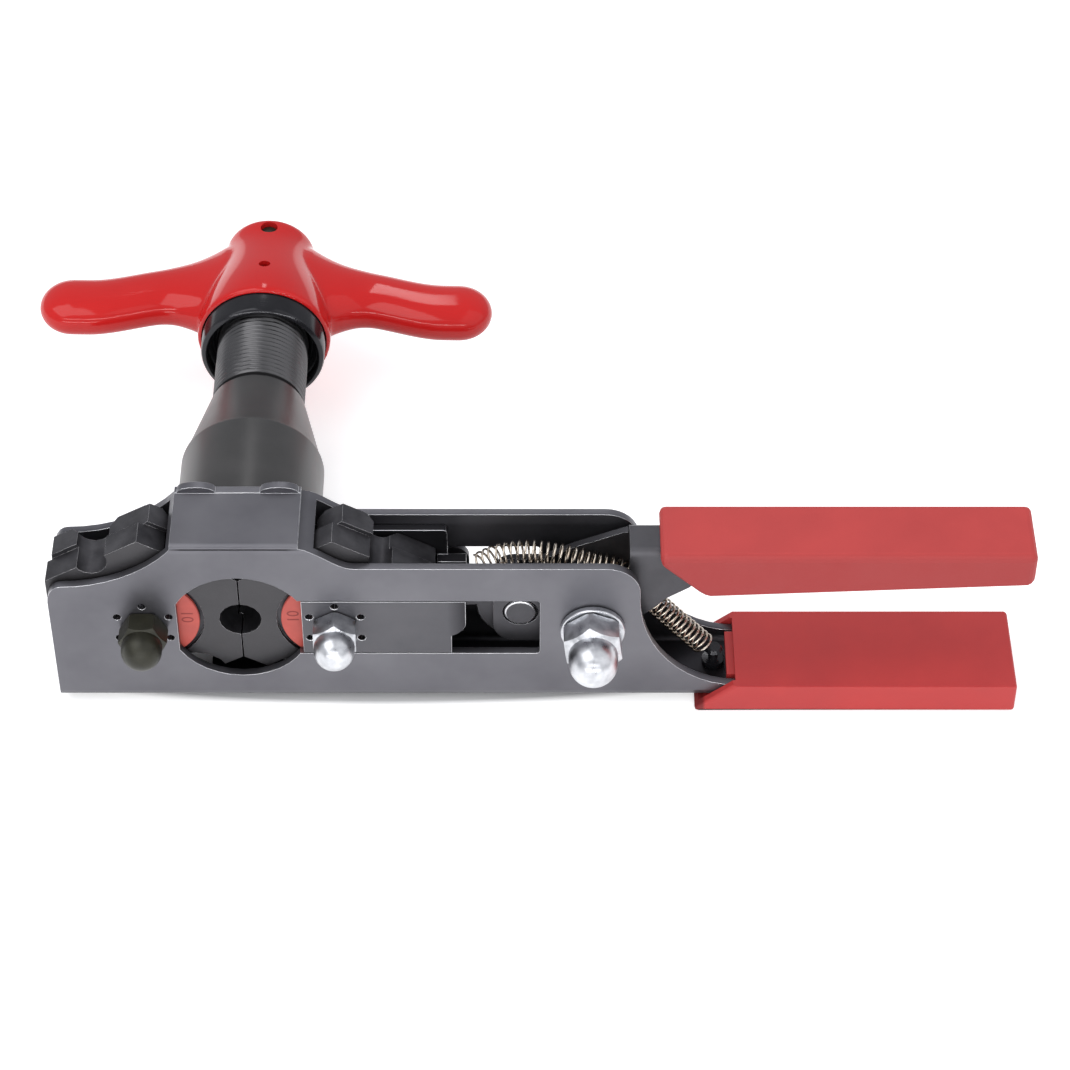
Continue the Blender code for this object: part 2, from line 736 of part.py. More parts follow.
def make_axle(name, centre, plate_face, head_front, colour):
    """A stepped bolt: head behind the plates, shoulder in the wheel's bore, thread through the front."""
    shoulder = DIE_BORE / 2
    thread = AXLE_THREAD / 2
    thread_tip = FRONT - SMALL_NUT["height"] + SMALL_NUT["dome"] / 2 + 2 * CLEARANCE
    head = AXLE_HEAD / 2
    profile = [
        (0.0, head_front + AXLE_HEAD_HEIGHT), (head - 0.0006, head_front + AXLE_HEAD_HEIGHT),
        (head, head_front + AXLE_HEAD_HEIGHT - 0.0006), (head, head_front),
        (thread, head_front), (thread, DIE_BACK), (shoulder, DIE_BACK),
        (shoulder, plate_face + CLEARANCE), (thread, plate_face + CLEARANCE),
        (thread, thread_tip + 0.0005), (thread - 0.0005, thread_tip), (0.0, thread_tip),
    ]
    piece(turned(name, profile, centre), name, colour)


def make_dies():
    left = (-DIE_SPACING / 2, 0.0)
    right = (DIE_SPACING / 2, 0.0)
    make_die_wheel("fixed", left, 0, FRONT_IN, 90)
    make_die_wheel("moving", right, 180, DIE_FRONT - CLEARANCE, 90)
    make_axle("fixed_die_axle", left, FRONT_IN, BACK + CLEARANCE, "satin_black")
    make_axle("moving_die_axle", right, DIE_FRONT - CLEARANCE, BACK_IN, "satin_black")
    spacer_front = DIE_BACK + CLEARANCE
    spacer = tube("spacer", DIE_BORE + 0.005, AXLE_THREAD + 2 * CLEARANCE, spacer_front, BACK_IN - CLEARANCE, left)
    piece(spacer, "fixed_die_spacer", "steel")
    nut_seat = FRONT - CLEARANCE
    make_cap_nut("fixed_die_nut", SMALL_NUT, AXLE_THREAD, nut_seat, left, "dark_nut")
    make_cap_nut("moving_die_nut", SMALL_NUT, AXLE_THREAD, nut_seat, right, "zinc")


# Jaw slide and toggle

SLIDE_HALF = SLOT_HALF - CLEARANCE
SLIDE_LEFT = WINDOW_HALF + 0.0001
SLIDE_RIGHT = 0.0532
SLIDE_NECK = 0.0498
SLIDE_BLOCK_LEFT = 0.0463
SLIDE_WEB_RIGHT = 0.049
SLIDE_WEB_TOP = -0.0009
SLIDE_REAR_HALF = 0.0165
SLIDE_REAR_RIGHT = 0.0488
SLIDE_REAR_RELIEF = 0.0128
SLIDE_BACK = BACK_IN - CLEARANCE
SLIDE_REAR_FRONT = DIE_BACK + CLEARANCE
LINK_THICKNESS = LEVER_WIDTH - 2 * LEVER_SHEET - 2 * CLEARANCE
LINK_SLOT_HALF = LINK_THICKNESS / 2 + CLEARANCE
LINK_EYE_RIM = 0.0031
LINK_END = 0.0103
LINK_HEEL = 0.007


def slide_front_outline():
    """The bar that fills the slot, hollowed at its lower right end."""
    outline = [(SLIDE_LEFT, -SLIDE_HALF), (SLIDE_NECK, -SLIDE_HALF), (SLIDE_NECK, -0.0029)]
    outline += [(0.0512, -0.0022), (0.0526, -0.0008), (SLIDE_RIGHT, 0.0008)]
    outline += [(SLIDE_RIGHT, SLIDE_HALF), (SLIDE_LEFT, SLIDE_HALF)]
    return outline


def make_jaw_slide():
    front = plate("jaw_slide", [slide_front_outline()], FRONT, DIE_FRONT - CLEARANCE)
    block_outline = [(x, z) if x > SLIDE_BLOCK_LEFT else (SLIDE_BLOCK_LEFT, z) for x, z in slide_front_outline()]
    overlap = 0.0002
    block = plate("block", [block_outline], DIE_FRONT - CLEARANCE - overlap, SLIDE_REAR_FRONT + overlap)
    rear_outline = rounded_outline(
        [
            (0.0, -SLIDE_REAR_HALF), (SLIDE_REAR_RIGHT, -SLIDE_REAR_HALF),
            (SLIDE_REAR_RIGHT, SLIDE_REAR_HALF), (0.0, SLIDE_REAR_HALF),
        ],
        0.001, 2,
    )
    rear = plate("rear", [rear_outline], SLIDE_REAR_FRONT, SLIDE_BACK)
    body = join(front, block, rear)
    right = (DIE_SPACING / 2, 0.0)
    hole = SLIDE_PIN / 2 + CLEARANCE
    pin_slot = arc((SLIDE_PIN_X + PIN_PLAY_RIGHT, SLIDE_PIN_Z), hole, -90, 90, 6)
    pin_slot += arc((SLIDE_PIN_X - PIN_PLAY_LEFT, SLIDE_PIN_Z), hole, 90, 270, 6)
    link_slot = [
        (SLIDE_BLOCK_LEFT - SHEET, SLIDE_WEB_TOP), (SLIDE_WEB_RIGHT, SLIDE_WEB_TOP),
        (SLIDE_WEB_RIGHT, -2 * SLIDE_HALF), (SLIDE_RIGHT + SHEET, -2 * SLIDE_HALF),
        (SLIDE_RIGHT + SHEET, 2 * SLIDE_HALF), (SLIDE_BLOCK_LEFT - SHEET, 2 * SLIDE_HALF),
    ]
    body = cut(
        body,
        rod("relief", 2 * SLIDE_REAR_RELIEF, SLIDE_REAR_FRONT - CLEARANCE, SLIDE_BACK + SHEET, steps=32),
        rod("axle_hole", AXLE_THREAD + 2 * CLEARANCE, FRONT - SHEET, SLIDE_BACK + SHEET, right),
        plate("link_slot", [link_slot], -LINK_SLOT_HALF, LINK_SLOT_HALF),
        plate("pin_slot", [pin_slot], FRONT_IN + CLEARANCE, SLIDE_BACK + SHEET),
    )
    for outline in detent_holes(right):
        body = cut(body, plate("detent", [outline], FRONT - SHEET, DIE_FRONT))
    piece(body, "jaw_slide", "gunmetal")
    pin = rod(
        "pin", SLIDE_PIN, FRONT_IN + 2 * CLEARANCE, SLIDE_BACK, (SLIDE_PIN_X, SLIDE_PIN_Z), 16
    )
    piece(pin, "slide_pin", "steel", (CRANK_X, 0.0, 0.0))


def make_link():
    """A thick link from the slide's pin to the crank pin, with a broad round end."""
    crank = (CRANK_X, 0.0)
    eye = (SLIDE_PIN_X, SLIDE_PIN_Z)
    half = LINK_THICKNESS / 2
    outline = arc(crank, LINK_HEEL, 265, 440, 12) + arc(crank, LINK_END, 95, 125, 4)
    outline += arc(eye, LINK_EYE_RIM, 75, 290, 12) + arc(crank, LINK_END, 178, 250, 8)
    link = plate("link", [outline], -half, half)
    link = cut(
        link,
        rod("crank_hole", CRANK_PIN + 2 * CLEARANCE, -LEVER_WIDTH, LEVER_WIDTH, crank, 20),
        rod("eye", SLIDE_PIN + 2 * CLEARANCE, -LEVER_WIDTH, LEVER_WIDTH, eye, 16),
    )
    piece(link, "toggle_link", "gunmetal", (CRANK_X, 0.0, 0.0))


def cheek_outline():
    """The lever from the side: crank end, pivot boss, root and the strip that runs into the grip."""
    low = CHEEK_HALF
    corner_x = CHEEK_END + CHEEK_CORNER
    outline = arc((corner_x, -low + CHEEK_CORNER), CHEEK_CORNER, 180, 270, 5)
    outline += arc((PIVOT_X, 0.0), low, 270, 312, 5)
    strip = LEVER_TOP - LEVER_TAIL_HEIGHT
    outline += [(0.0965, 0.0005), (0.1006, 0.0049), (0.1056, 0.0083), (0.1085, 0.0118), (0.1125, strip)]
    outline += [(LEVER_END, strip), (LEVER_END, LEVER_TOP + SHEET), (WEB_START, LEVER_TOP + SHEET)]
    outline += [(WEB_START - 0.0006, 0.0188), (0.079, 0.0136), (0.0745, 0.0112)]
    outline += [(0.0715, low), (corner_x, low)]
    outline += arc((corner_x, low - CHEEK_CORNER), CHEEK_CORNER, 90, 180, 5)[1:]
    return outline


def make_lever():
    """A channel with its web on top. Ahead of the web only the two cheeks are left, the front one cut low."""
    half = LEVER_WIDTH / 2
    channel = channel_profile(LEVER_WIDTH, 0.0, LEVER_TOP + 2 * CHEEK_HALF, LEVER_BEND, LEVER_SHEET)
    section = [(y, LEVER_TOP - z) for y, z in channel]
    lever = bar("lever", [section], CHEEK_END - SHEET, LEVER_END + SHEET)
    lever = combine(lever, plate("blank", [cheek_outline()], -LEVER_WIDTH, LEVER_WIDTH), "INTERSECT")
    front_top = [
        (0.0, CHEEK_HALF + CLEARANCE), (0.0845, CHEEK_HALF + CLEARANCE), (WEB_START - CLEARANCE, 0.0118),
        (WEB_START - CLEARANCE, LEVER_TOP + SHEET), (0.0, LEVER_TOP + SHEET),
    ]
    lever = cut(
        lever,
        plate("front_top", [front_top], -LEVER_WIDTH, half - LEVER_SHEET - CLEARANCE),
        rod("sleeve_hole", SLEEVE_DIAMETER + 2 * CLEARANCE, -LEVER_WIDTH, LEVER_WIDTH, (PIVOT_X, 0.0)),
        rod("crank_hole", CRANK_PIN + 2 * CLEARANCE, -LEVER_WIDTH, LEVER_WIDTH, (CRANK_X, 0.0), 20),
    )
    piece(lever, "handle_lever", "gunmetal", (PIVOT_X, 0.0, 0.0))


def make_toggle_pins():
    flush = LEVER_WIDTH / 2 + CLEARANCE
    pin = rod("pin", CRANK_PIN, -flush, flush, (CRANK_X, 0.0), 20)
    piece(rounded(pin, 0.0004, 1), "crank_pin", "gunmetal", (CRANK_X, 0.0, 0.0))
    pivot = (PIVOT_X, 0.0)
    sleeve = tube(
        "sleeve", SLEEVE_DIAMETER, PIVOT_THREAD + 2 * CLEARANCE, FRONT_IN + CLEARANCE, BACK_IN - CLEARANCE, pivot
    )
    piece(sleeve, "pivot_sleeve", "steel")
    gap = LINK_THICKNESS / 2
    roller = tube("roller", ROLLER_DIAMETER, SLEEVE_DIAMETER + 2 * CLEARANCE, -gap, gap, pivot)
    piece(roller, "pivot_spacer", "steel")
    thread = PIVOT_THREAD / 2
    head = PIVOT_HEAD / 2
    head_front = BACK + CLEARANCE
    tip = FRONT - WASHER_THICKNESS - BIG_NUT["height"] + BIG_NUT["dome"] / 2 + CLEARANCE
    bolt = turned(
        "bolt",
        [
            (0.0, head_front + PIVOT_HEAD_HEIGHT), (head * 0.7, head_front + PIVOT_HEAD_HEIGHT),
            (head, head_front + PIVOT_HEAD_HEIGHT * 0.45), (head, head_front), (thread, head_front),
            (thread, tip + 0.0006), (thread - 0.0006, tip), (0.0, tip),
        ],
        pivot, 24,
    )
    piece(bolt, "pivot_bolt", "zinc")
    washer_back = FRONT - CLEARANCE
    washer = tube(
        "washer", WASHER_DIAMETER, PIVOT_THREAD + 2 * CLEARANCE, washer_back - WASHER_THICKNESS, washer_back, pivot, 32
    )
    piece(washer, "pivot_washer", "zinc")
    make_cap_nut(
        "pivot_nut", BIG_NUT, PIVOT_THREAD, washer_back - WASHER_THICKNESS - CLEARANCE, pivot, "zinc"
    )


# Grips

def make_upper_grip():
    half = UPPER_GRIP_WIDTH / 2
    outline = [
        (UPPER_GRIP_START, 0.0190), (0.1084, 0.0093), (UPPER_GRIP_END, 0.0131),
        (UPPER_GRIP_END, UPPER_GRIP_TOP), (UPPER_GRIP_START, UPPER_GRIP_TOP),
    ]
    grip = rounded(plate("grip", [outline], -half, half), GRIP_ROUNDING, 3)
    inside = LEVER_WIDTH / 2 + CLEARANCE
    strip = LEVER_TOP - LEVER_TAIL_HEIGHT - CLEARANCE
    grip = cut(
        grip,
        box("bore", (0.0, -inside, strip), (LEVER_END + CLEARANCE, inside, LEVER_TOP + CLEARANCE)),
        plate("root", [[
            (0.0, -0.01), (0.1014, 0.0), (0.1062, 0.0076), (0.1090, 0.0112), (0.1130, strip), (0.1130, LEVER_TOP),
            (0.0, LEVER_TOP),
        ]], -inside, inside),
    )
    piece(grip, "upper_grip", "red_grip", (PIVOT_X, 0.0, 0.0))


def make_lower_grip():
    """A sleeve over the tail, with a tongue that fills the channel."""
    half = LOWER_GRIP_WIDTH / 2
    outline = [
        (LOWER_GRIP_START, LOWER_GRIP_BOTTOM), (LOWER_GRIP_END, LOWER_GRIP_BOTTOM),
        (LOWER_GRIP_END, LOWER_GRIP_TOP), (LOWER_GRIP_SHELF, LOWER_GRIP_TOP),
        (LOWER_GRIP_START, LOWER_GRIP_BOTTOM + 0.0008),
    ]
    grip = plate("grip", [outline], -half, half)
    grip = rounded(grip, 0.0018, 3, 50)
    side = HOUSING_WIDTH / 2 + CLEARANCE
    floor = UNDERSIDE - CLEARANCE
    roof = TAIL_WALL_TOP + CLEARANCE
    mouth = LOWER_GRIP_SHELF + 0.0006
    grip = cut(
        grip,
        box("tail_room", (0.0, -side, floor), (TAIL_END + CLEARANCE, side, roof)),
        box("mouth", (0.0, -side, floor), (mouth, side, 0.0)),
    )
    tongue_half = HOUSING_WIDTH / 2 - SHEET - TAIL_INSET - 2 * CLEARANCE
    tongue = box(
        "tongue",
        (POST_X + 0.003, -tongue_half, UNDERSIDE + SHEET + TAIL_INSET + CLEARANCE * 2),
        (TAIL_END - 0.002, tongue_half, roof + CLEARANCE),
    )
    piece(join(grip, tongue), "lower_grip", "red_grip")


# Spring and its post

def make_spring():
    route = [
        (0.1103, -0.0166), (0.0990, -0.0030), (0.0922, 0.0062), (0.0886, 0.0096), (0.0834, 0.0112),
        (0.0755, 0.0140), (0.0683, 0.0152), (0.0620, 0.0143), (0.0587, 0.0127), (0.0561, 0.0108),
    ]
    spring = coil(
        "spring", smooth_path(route), SPRING_DIAMETER, SPRING_WIRE, SPRING_PITCH, SPRING_POINTS_PER_TURN, guides
    )
    piece(spring, "return_spring", "spring_steel")
    stem = POST_DIAMETER / 2
    floor = UNDERSIDE + SHEET + CLEARANCE
    post = bpy_post(stem, floor)
    piece(post, "spring_post", "gloss_black")


def bpy_post(stem, floor):
    """An upright stud in the channel floor, turned about Z, with a waist for the spring's end."""
    foot = stem + 0.0012
    profile = [
        (0.0, floor + 0.0052), (stem + 0.0002, floor + 0.0052), (stem + 0.0007, floor + 0.0044),
        (stem + 0.0002, floor + 0.0036), (stem - 0.0003, floor + 0.0034), (stem - 0.0003, floor + 0.0016),
        (foot, floor + 0.0014), (foot, floor), (stem, floor), (stem, UNDERSIDE + CLEARANCE),
        (0.0, UNDERSIDE + CLEARANCE),
    ]
    post = turned("post", profile, steps=16)
    turn = post.data.transform
    turn(Matrix.Rotation(math.pi / 2, 4, "X"))
    turn(Matrix.Translation((POST_X, 0.0, 0.0)))
    return post


# Spindle

def make_nose():
    end = BACK + NOSE_LENGTH
    taper_end = end + NOSE_TAPER
    thread_end = taper_end + THREAD_LENGTH
    outer = NOSE_DIAMETER / 2
    thread = THREAD_DIAMETER / 2
    spigot = SPIGOT_DIAMETER / 2
    bore = NOSE_BORE / 2
    guide = SHAFT_DIAMETER / 2 + CLEARANCE
    front = BACK_IN + CLEARANCE
    seat = BACK + CLEARANCE
    profile = [
        (thread - 0.0006, thread_end), (thread, thread_end - 0.0006), (thread, taper_end),
        (outer - 0.0005, end), (outer, end - 0.0008), (outer, seat), (spigot, seat), (spigot, front),
        (bore, front), (bore, front + NOSE_BORE_DEPTH), (guide, front + NOSE_BORE_DEPTH), (guide, thread_end),
    ]
    piece(turned("nose", profile, steps=32), "spindle_nose", "satin_black")


def make_cone():
    """The flaring cone turns freely on the spindle's journal, against a ball."""
    axis = (0.0, 0.0, 0.0)
    radius = CONE_DIAMETER / 2
    base = CONE_TIP + radius
    back = base + CONE_BODY
    journal = JOURNAL_DIAMETER / 2 + CLEARANCE
    ball_front = back - JOURNAL_LENGTH - CONE_BALL
    profile = [
        (journal, back), (radius - 0.0005, back), (radius, back - 0.0005), (radius, base),
        (CONE_TIP_FLAT, CONE_TIP + CONE_TIP_FLAT), (0.0, CONE_TIP + CONE_TIP_FLAT * 0.5),
        (0.0, ball_front - CLEARANCE), (journal, ball_front + 0.0012),
    ]
    closed = turned_open("cone", profile)
    piece(closed, "flaring_cone", "steel", axis)
    piece(
        ball("ball", CONE_BALL, (0.0, ball_front + CONE_BALL / 2 + CLEARANCE, 0.0)), "thrust_ball", "steel", axis
    )
    tip = ball_front + CONE_BALL + 2 * CLEARANCE
    clip_front = back + CLEARANCE
    clip_back = clip_front + CLIP_THICKNESS
    clip = tube("clip", CLIP_DIAMETER, JOURNAL_DIAMETER + 2 * CLEARANCE, clip_front, clip_back, steps=20)
    piece(clip, "cone_clip", "spring_steel", axis)
    thick = SHAFT_DIAMETER / 2
    slim = JOURNAL_DIAMETER / 2
    shaft_back = HUB_END - 0.004
    shoulder = clip_back + CLEARANCE
    shaft = turned(
        "shaft",
        [
            (0.0, shaft_back), (thick - 0.0006, shaft_back), (thick, shaft_back - 0.0006),
            (thick, shoulder), (slim, shoulder), (slim, tip + 0.0004), (slim - 0.0004, tip), (0.0, tip),
        ],
        steps=24,
    )
    pin_hole = upright_rod("hole", CROSS_PIN + 2 * CLEARANCE, SHAFT_DIAMETER * 2, CROSS_PIN_Y)
    piece(cut(shaft, pin_hole), "spindle_shaft", "steel", axis)


def turned_open(name, profile):
    """A turned solid whose profile starts off the axis and whose inner side ends on it."""
    mesh = bpy.data.meshes.new(name)
    points = [(radius, 0.0, y) for radius, y in profile]
    outer = [index for index, (radius, _) in enumerate(profile) if radius == 0.0][0]
    edges = [(index, index + 1) for index in range(len(points) - 1) if index != outer]
    edges.append((len(points) - 1, 0))
    mesh.from_pydata(points, edges, [])
    item = add_object(name, mesh, guides)
    screw = item.modifiers.new("turning", "SCREW")
    screw.axis = "Z"
    screw.steps = 24
    screw.render_steps = 24
    screw.use_merge_vertices = True
    screw.merge_threshold = 0.00001
    screw.use_normal_calculate = True
    item.rotation_euler = (-math.pi / 2, 0.0, 0.0)
    item.location = (0.0, 0.0, 0.0)
    return baked(item)


def upright_rod(name, diameter, length, y):
    """A cutter or pin along Z through the spindle's axis, turned with the handle."""
    mesh = bpy.data.meshes.new(name)
    edit = bmesh.new()
    bmesh.ops.create_cone(
        edit, cap_ends=True, segments=16, radius1=diameter / 2, radius2=diameter / 2, depth=length
    )
    edit.to_mesh(mesh)
    edit.free()
    item = add_object(name, mesh, guides)
    item.location = (0.0, y, 0.0)
    item.rotation_euler = (0.0, WING_TURN, 0.0)
    return baked(item)


def make_insert():
    axis = (0.0, 0.0, 0.0)
    outer = INSERT_DIAMETER / 2
    mouth = INSERT_MOUTH / 2
    thread = THREAD_DIAMETER / 2 + CLEARANCE
    end = INSERT_START + INSERT_LENGTH
    profile = [
        (outer, end), (outer, INSERT_START + 0.0007), (outer - 0.0007, INSERT_START), (mouth, INSERT_START),
        (mouth - 0.0004, INSERT_START + INSERT_MOUTH_DEPTH), (thread, INSERT_START + INSERT_MOUTH_DEPTH + 0.0015),
        (thread, end),
    ]
    piece(turned("insert", profile, steps=32), "threaded_insert", "gloss_black", axis)


def smooth_step(low, high, value):
    t = min(max((value - low) / (high - low), 0.0), 1.0)
    return t * t * (3 - 2 * t)


def wing_section(x):
    """Centre along Y, and half sizes along Y and Z, of the handle's section at a distance from its axis."""
    far = abs(x)
    centre = 0.1033 + 0.0062 * (1 - smooth_step(0.020, 0.048, far))
    long_half = 0.0084 + 0.0008 * smooth_step(0.030, 0.048, far)
    flat_half = 0.0053 + 0.0024 * (1 - smooth_step(0.022, 0.040, far))
    root = max(0.0, 0.026 - far) / 0.014
    long_half += 0.0042 * root ** 2
    flat_half += 0.0040 * root ** 2
    rise = WING_SPAN / 2 - far
    if rise < WING_TIP_RADIUS:
        shrink = math.sqrt(max(1 - (1 - rise / WING_TIP_RADIUS) ** 2, 0.0))
        long_half *= shrink
        flat_half *= shrink
    return centre, long_half, flat_half


def make_wings(around=16):
    """A loft through superellipse sections from tip to tip."""
    half = WING_SPAN / 2
    tip_steps = 5
    stations = [half - WING_TIP_RADIUS * (1 - math.cos(math.pi / 2 * i / tip_steps)) for i in range(1, tip_steps)]
    inner = half - WING_TIP_RADIUS
    body_steps = 9
    root = 0.011
    stations += [inner - (inner - root) * i / body_steps for i in range(body_steps + 1)]
    stations = [-x for x in stations] + [x for x in reversed(stations)]
    mesh = bpy.data.meshes.new("wings")
    edit = bmesh.new()
    rings = []
    for x in stations:
        centre, long_half, flat_half = wing_section(x)
        ring = []
        for index in range(around):
            angle = 2 * math.pi * index / around
            cosine, sine = math.cos(angle), math.sin(angle)
            y = centre + long_half * math.copysign(abs(cosine) ** 0.85, cosine)
            z = flat_half * math.copysign(abs(sine) ** 0.9, sine)
            ring.append(edit.verts.new((x, y, z)))
        rings.append(ring)
    for first, second in zip(rings, rings[1:]):
        for index in range(around):
            following = (index + 1) % around
            edit.faces.new((first[index], first[following], second[following], second[index]))
    for ring, x in ((rings[0], -half), (rings[-1], half)):
        tip = edit.verts.new((x, wing_section(x)[0], 0.0))
        for index in range(around):
            edit.faces.new((ring[index], ring[(index + 1) % around], tip))
    bmesh.ops.recalc_face_normals(edit, faces=edit.faces)
    edit.to_mesh(mesh)
    edit.free()
    item = add_object("wings", mesh, guides)
    item.location = (0.0, 0.0, 0.0)
    item.rotation_euler = (0.0, WING_TURN, 0.0)
    return baked(item)


def make_t_handle():
    axis = (0.0, 0.0, 0.0)
    hub = HUB_DIAMETER / 2
    skirt = SKIRT_DIAMETER / 2
    skirt_front = INSERT_START + INSERT_VISIBLE
    flare = []
    steps = 6
    for index in range(steps + 1):
        share = index / steps
        y = HUB_FLARE_END + (skirt_front + 0.001 - HUB_FLARE_END) * share
        flare.append((hub + (skirt - hub) * smooth_step(0.0, 1.0, share) ** 0.8, y))
    profile = [(0.0, HUB_END), (hub * 0.55, HUB_END - 0.0003), (hub * 0.86, HUB_END - 0.0014)]
    profile += [(hub * 0.97, HUB_END - 0.0032), (hub, HUB_END - 0.0055)]
    profile += flare + [(skirt - 0.0008, skirt_front), (0.0, skirt_front)]
    handle = join(turned("hub", profile, steps=32), make_wings())
    cavity_end = INSERT_START + HUB_CAVITY_DEPTH
    insert_room = INSERT_START + INSERT_LENGTH + CLEARANCE
    shaft_room = HUB_END - 0.004 + CLEARANCE
    handle = cut(
        handle,
        rod("insert_room", INSERT_DIAMETER + 2 * CLEARANCE, 0.06, insert_room, steps=32),
        rod("cavity", HUB_CAVITY, 0.06, cavity_end, steps=24),
        rod("shaft_room", SHAFT_DIAMETER + 2 * CLEARANCE, 0.06, shaft_room, steps=24),
        upright_rod("pin_hole", CROSS_PIN + 2 * CLEARANCE, SKIRT_DIAMETER, CROSS_PIN_Y),
    )
    oil = upright_rod("oil_hole", OIL_HOLE, SKIRT_DIAMETER, OIL_HOLE_Y)
    oil.data.transform(Matrix.Translation((0.0, 0.0, SKIRT_DIAMETER / 2)))
    handle = cut(handle, oil)
    piece(handle, "t_handle", "red_paint", axis)
    pin = upright_rod("pin", CROSS_PIN, HUB_DIAMETER - 0.003, CROSS_PIN_Y)
    piece(pin, "cross_pin", "steel", axis)


clear_scene()
parts = new_collection("flaring_tool")
guides = new_collection("cutters")
make_housing()
make_dies()
make_jaw_slide()
make_link()
make_lever()
make_toggle_pins()
make_upper_grip()
make_lower_grip()
make_spring()
make_nose()
make_cone()
make_insert()
make_t_handle()
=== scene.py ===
# %% [markdown]
# A flaring tool in its finishes
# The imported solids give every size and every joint. This file dresses them: it adds broken edges, a
# real thread, a fine spring, size digits and surface finishes, and it sets up a plain studio.
# All lengths are metres, and the frame is the solids' own: the spindle's axis runs along Y through zero.

import json
import math

import bmesh
import bpy
from mathutils import Matrix, Vector


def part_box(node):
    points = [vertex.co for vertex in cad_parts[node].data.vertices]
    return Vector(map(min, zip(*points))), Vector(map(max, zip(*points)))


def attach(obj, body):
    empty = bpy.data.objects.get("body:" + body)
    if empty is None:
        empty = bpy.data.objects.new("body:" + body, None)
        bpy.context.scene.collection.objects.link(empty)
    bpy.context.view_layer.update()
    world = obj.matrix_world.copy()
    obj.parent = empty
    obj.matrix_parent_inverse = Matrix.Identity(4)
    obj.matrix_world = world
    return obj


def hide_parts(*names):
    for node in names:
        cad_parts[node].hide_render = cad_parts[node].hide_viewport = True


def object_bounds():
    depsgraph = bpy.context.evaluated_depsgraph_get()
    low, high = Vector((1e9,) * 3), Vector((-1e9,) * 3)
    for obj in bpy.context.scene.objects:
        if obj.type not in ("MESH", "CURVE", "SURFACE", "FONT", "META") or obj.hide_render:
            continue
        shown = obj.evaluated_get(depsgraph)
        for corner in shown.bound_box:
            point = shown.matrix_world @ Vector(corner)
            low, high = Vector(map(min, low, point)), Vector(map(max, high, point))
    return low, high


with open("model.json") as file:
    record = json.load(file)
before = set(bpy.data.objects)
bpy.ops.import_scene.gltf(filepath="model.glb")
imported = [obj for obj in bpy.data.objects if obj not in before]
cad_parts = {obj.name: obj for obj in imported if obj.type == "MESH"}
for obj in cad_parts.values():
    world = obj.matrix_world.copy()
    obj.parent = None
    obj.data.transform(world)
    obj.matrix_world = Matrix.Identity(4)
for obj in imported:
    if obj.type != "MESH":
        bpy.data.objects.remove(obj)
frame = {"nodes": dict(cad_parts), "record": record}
cad_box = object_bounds()
bodies = frame["record"]["behaviour"]["bodies"]
body_of_node = {name: body for body, names in bodies.items() for name in names}
slots = {entry["node"]: entry["material_slot"] for entry in frame["record"]["subparts"]}

# %% [markdown]
# Camera
# The photograph looks down at 45 degrees from the front, with a long lens, so that the tool's long
# side stays level. A camera could be moved by eye, but sizes that are measured in the photograph fix
# its place much closer. Only a slight shift is needed on top of that.

# %% Camera
FOCAL_LENGTH = 111.03
SENSOR_WIDTH = 36
SIDE_SHIFT = 0.0084
CAMERA_SPOT = (0.067324, -0.543334, 0.564096)
CAMERA_TILT = math.radians(45)


def added(name, data):
    obj = bpy.data.objects.new(name, data)
    bpy.context.scene.collection.objects.link(obj)
    return obj


camera_data = bpy.data.cameras.new("camera")
camera_data.lens = FOCAL_LENGTH
camera_data.sensor_width = SENSOR_WIDTH
camera_data.shift_x = SIDE_SHIFT
camera = added("camera", camera_data)
camera.location = CAMERA_SPOT
camera.rotation_euler = (CAMERA_TILT, 0, 0)
bpy.context.scene.camera = camera
bpy.context.scene.view_settings.view_transform = "Standard"
print("camera at", tuple(camera.location))

# %% [markdown]
# Surface effects as node groups
# Sheet steel, enamel and rubber all show a little unevenness. Three effects are shared: streaks left by
# rolling and grinding, soft clouds of tone, and a fine grain for bumps. A picture could carry them, but
# noise has no seam and stays sharp in close views. Each effect is a group that puts out one plain
# value, so that every material can weigh it in its own way.

# %% Streaks, clouds and grain
NOISE_ROUGHNESS = 0.55
EVEN = (1.0, 1.0, 1.0)
ALONG_X = (0.05, 1.0, 1.0)


def node(tree, kind, **settings):
    made = tree.nodes.new(kind)
    for name, value in settings.items():
        setattr(made, name, value)
    return made


def feed(tree, source, target):
    tree.links.new(source, target)


def noise_group(name, label, scale, detail, stretch=EVEN):
    """Noise over the piece's own coordinates: its scale goes in and one value comes out."""
    tree = bpy.data.node_groups.new(name, "ShaderNodeTree")
    socket = tree.interface.new_socket("Scale", in_out="INPUT", socket_type="NodeSocketFloat")
    socket.default_value = scale
    tree.interface.new_socket(label, in_out="OUTPUT", socket_type="NodeSocketFloat")
    start, end = node(tree, "NodeGroupInput"), node(tree, "NodeGroupOutput")
    place, mapping = node(tree, "ShaderNodeTexCoord"), node(tree, "ShaderNodeMapping")
    noise = node(tree, "ShaderNodeTexNoise")
    mapping.inputs["Scale"].default_value = stretch
    noise.inputs["Detail"].default_value = detail
    noise.inputs["Roughness"].default_value = NOISE_ROUGHNESS
    feed(tree, place.outputs["Object"], mapping.inputs["Vector"])
    feed(tree, mapping.outputs["Vector"], noise.inputs["Vector"])
    feed(tree, start.outputs["Scale"], noise.inputs["Scale"])
    feed(tree, noise.outputs["Fac"], end.inputs[label])
    return tree


streaks = noise_group("rolling_streaks", "Streak", 1400.0, 3.0, ALONG_X)
clouds = noise_group("soft_clouds", "Cloud", 40.0, 4.0)
grain = noise_group("fine_grain", "Grain", 3000.0, 2.0)
print("effects:", ", ".join(group.name for group in (streaks, clouds, grain)))

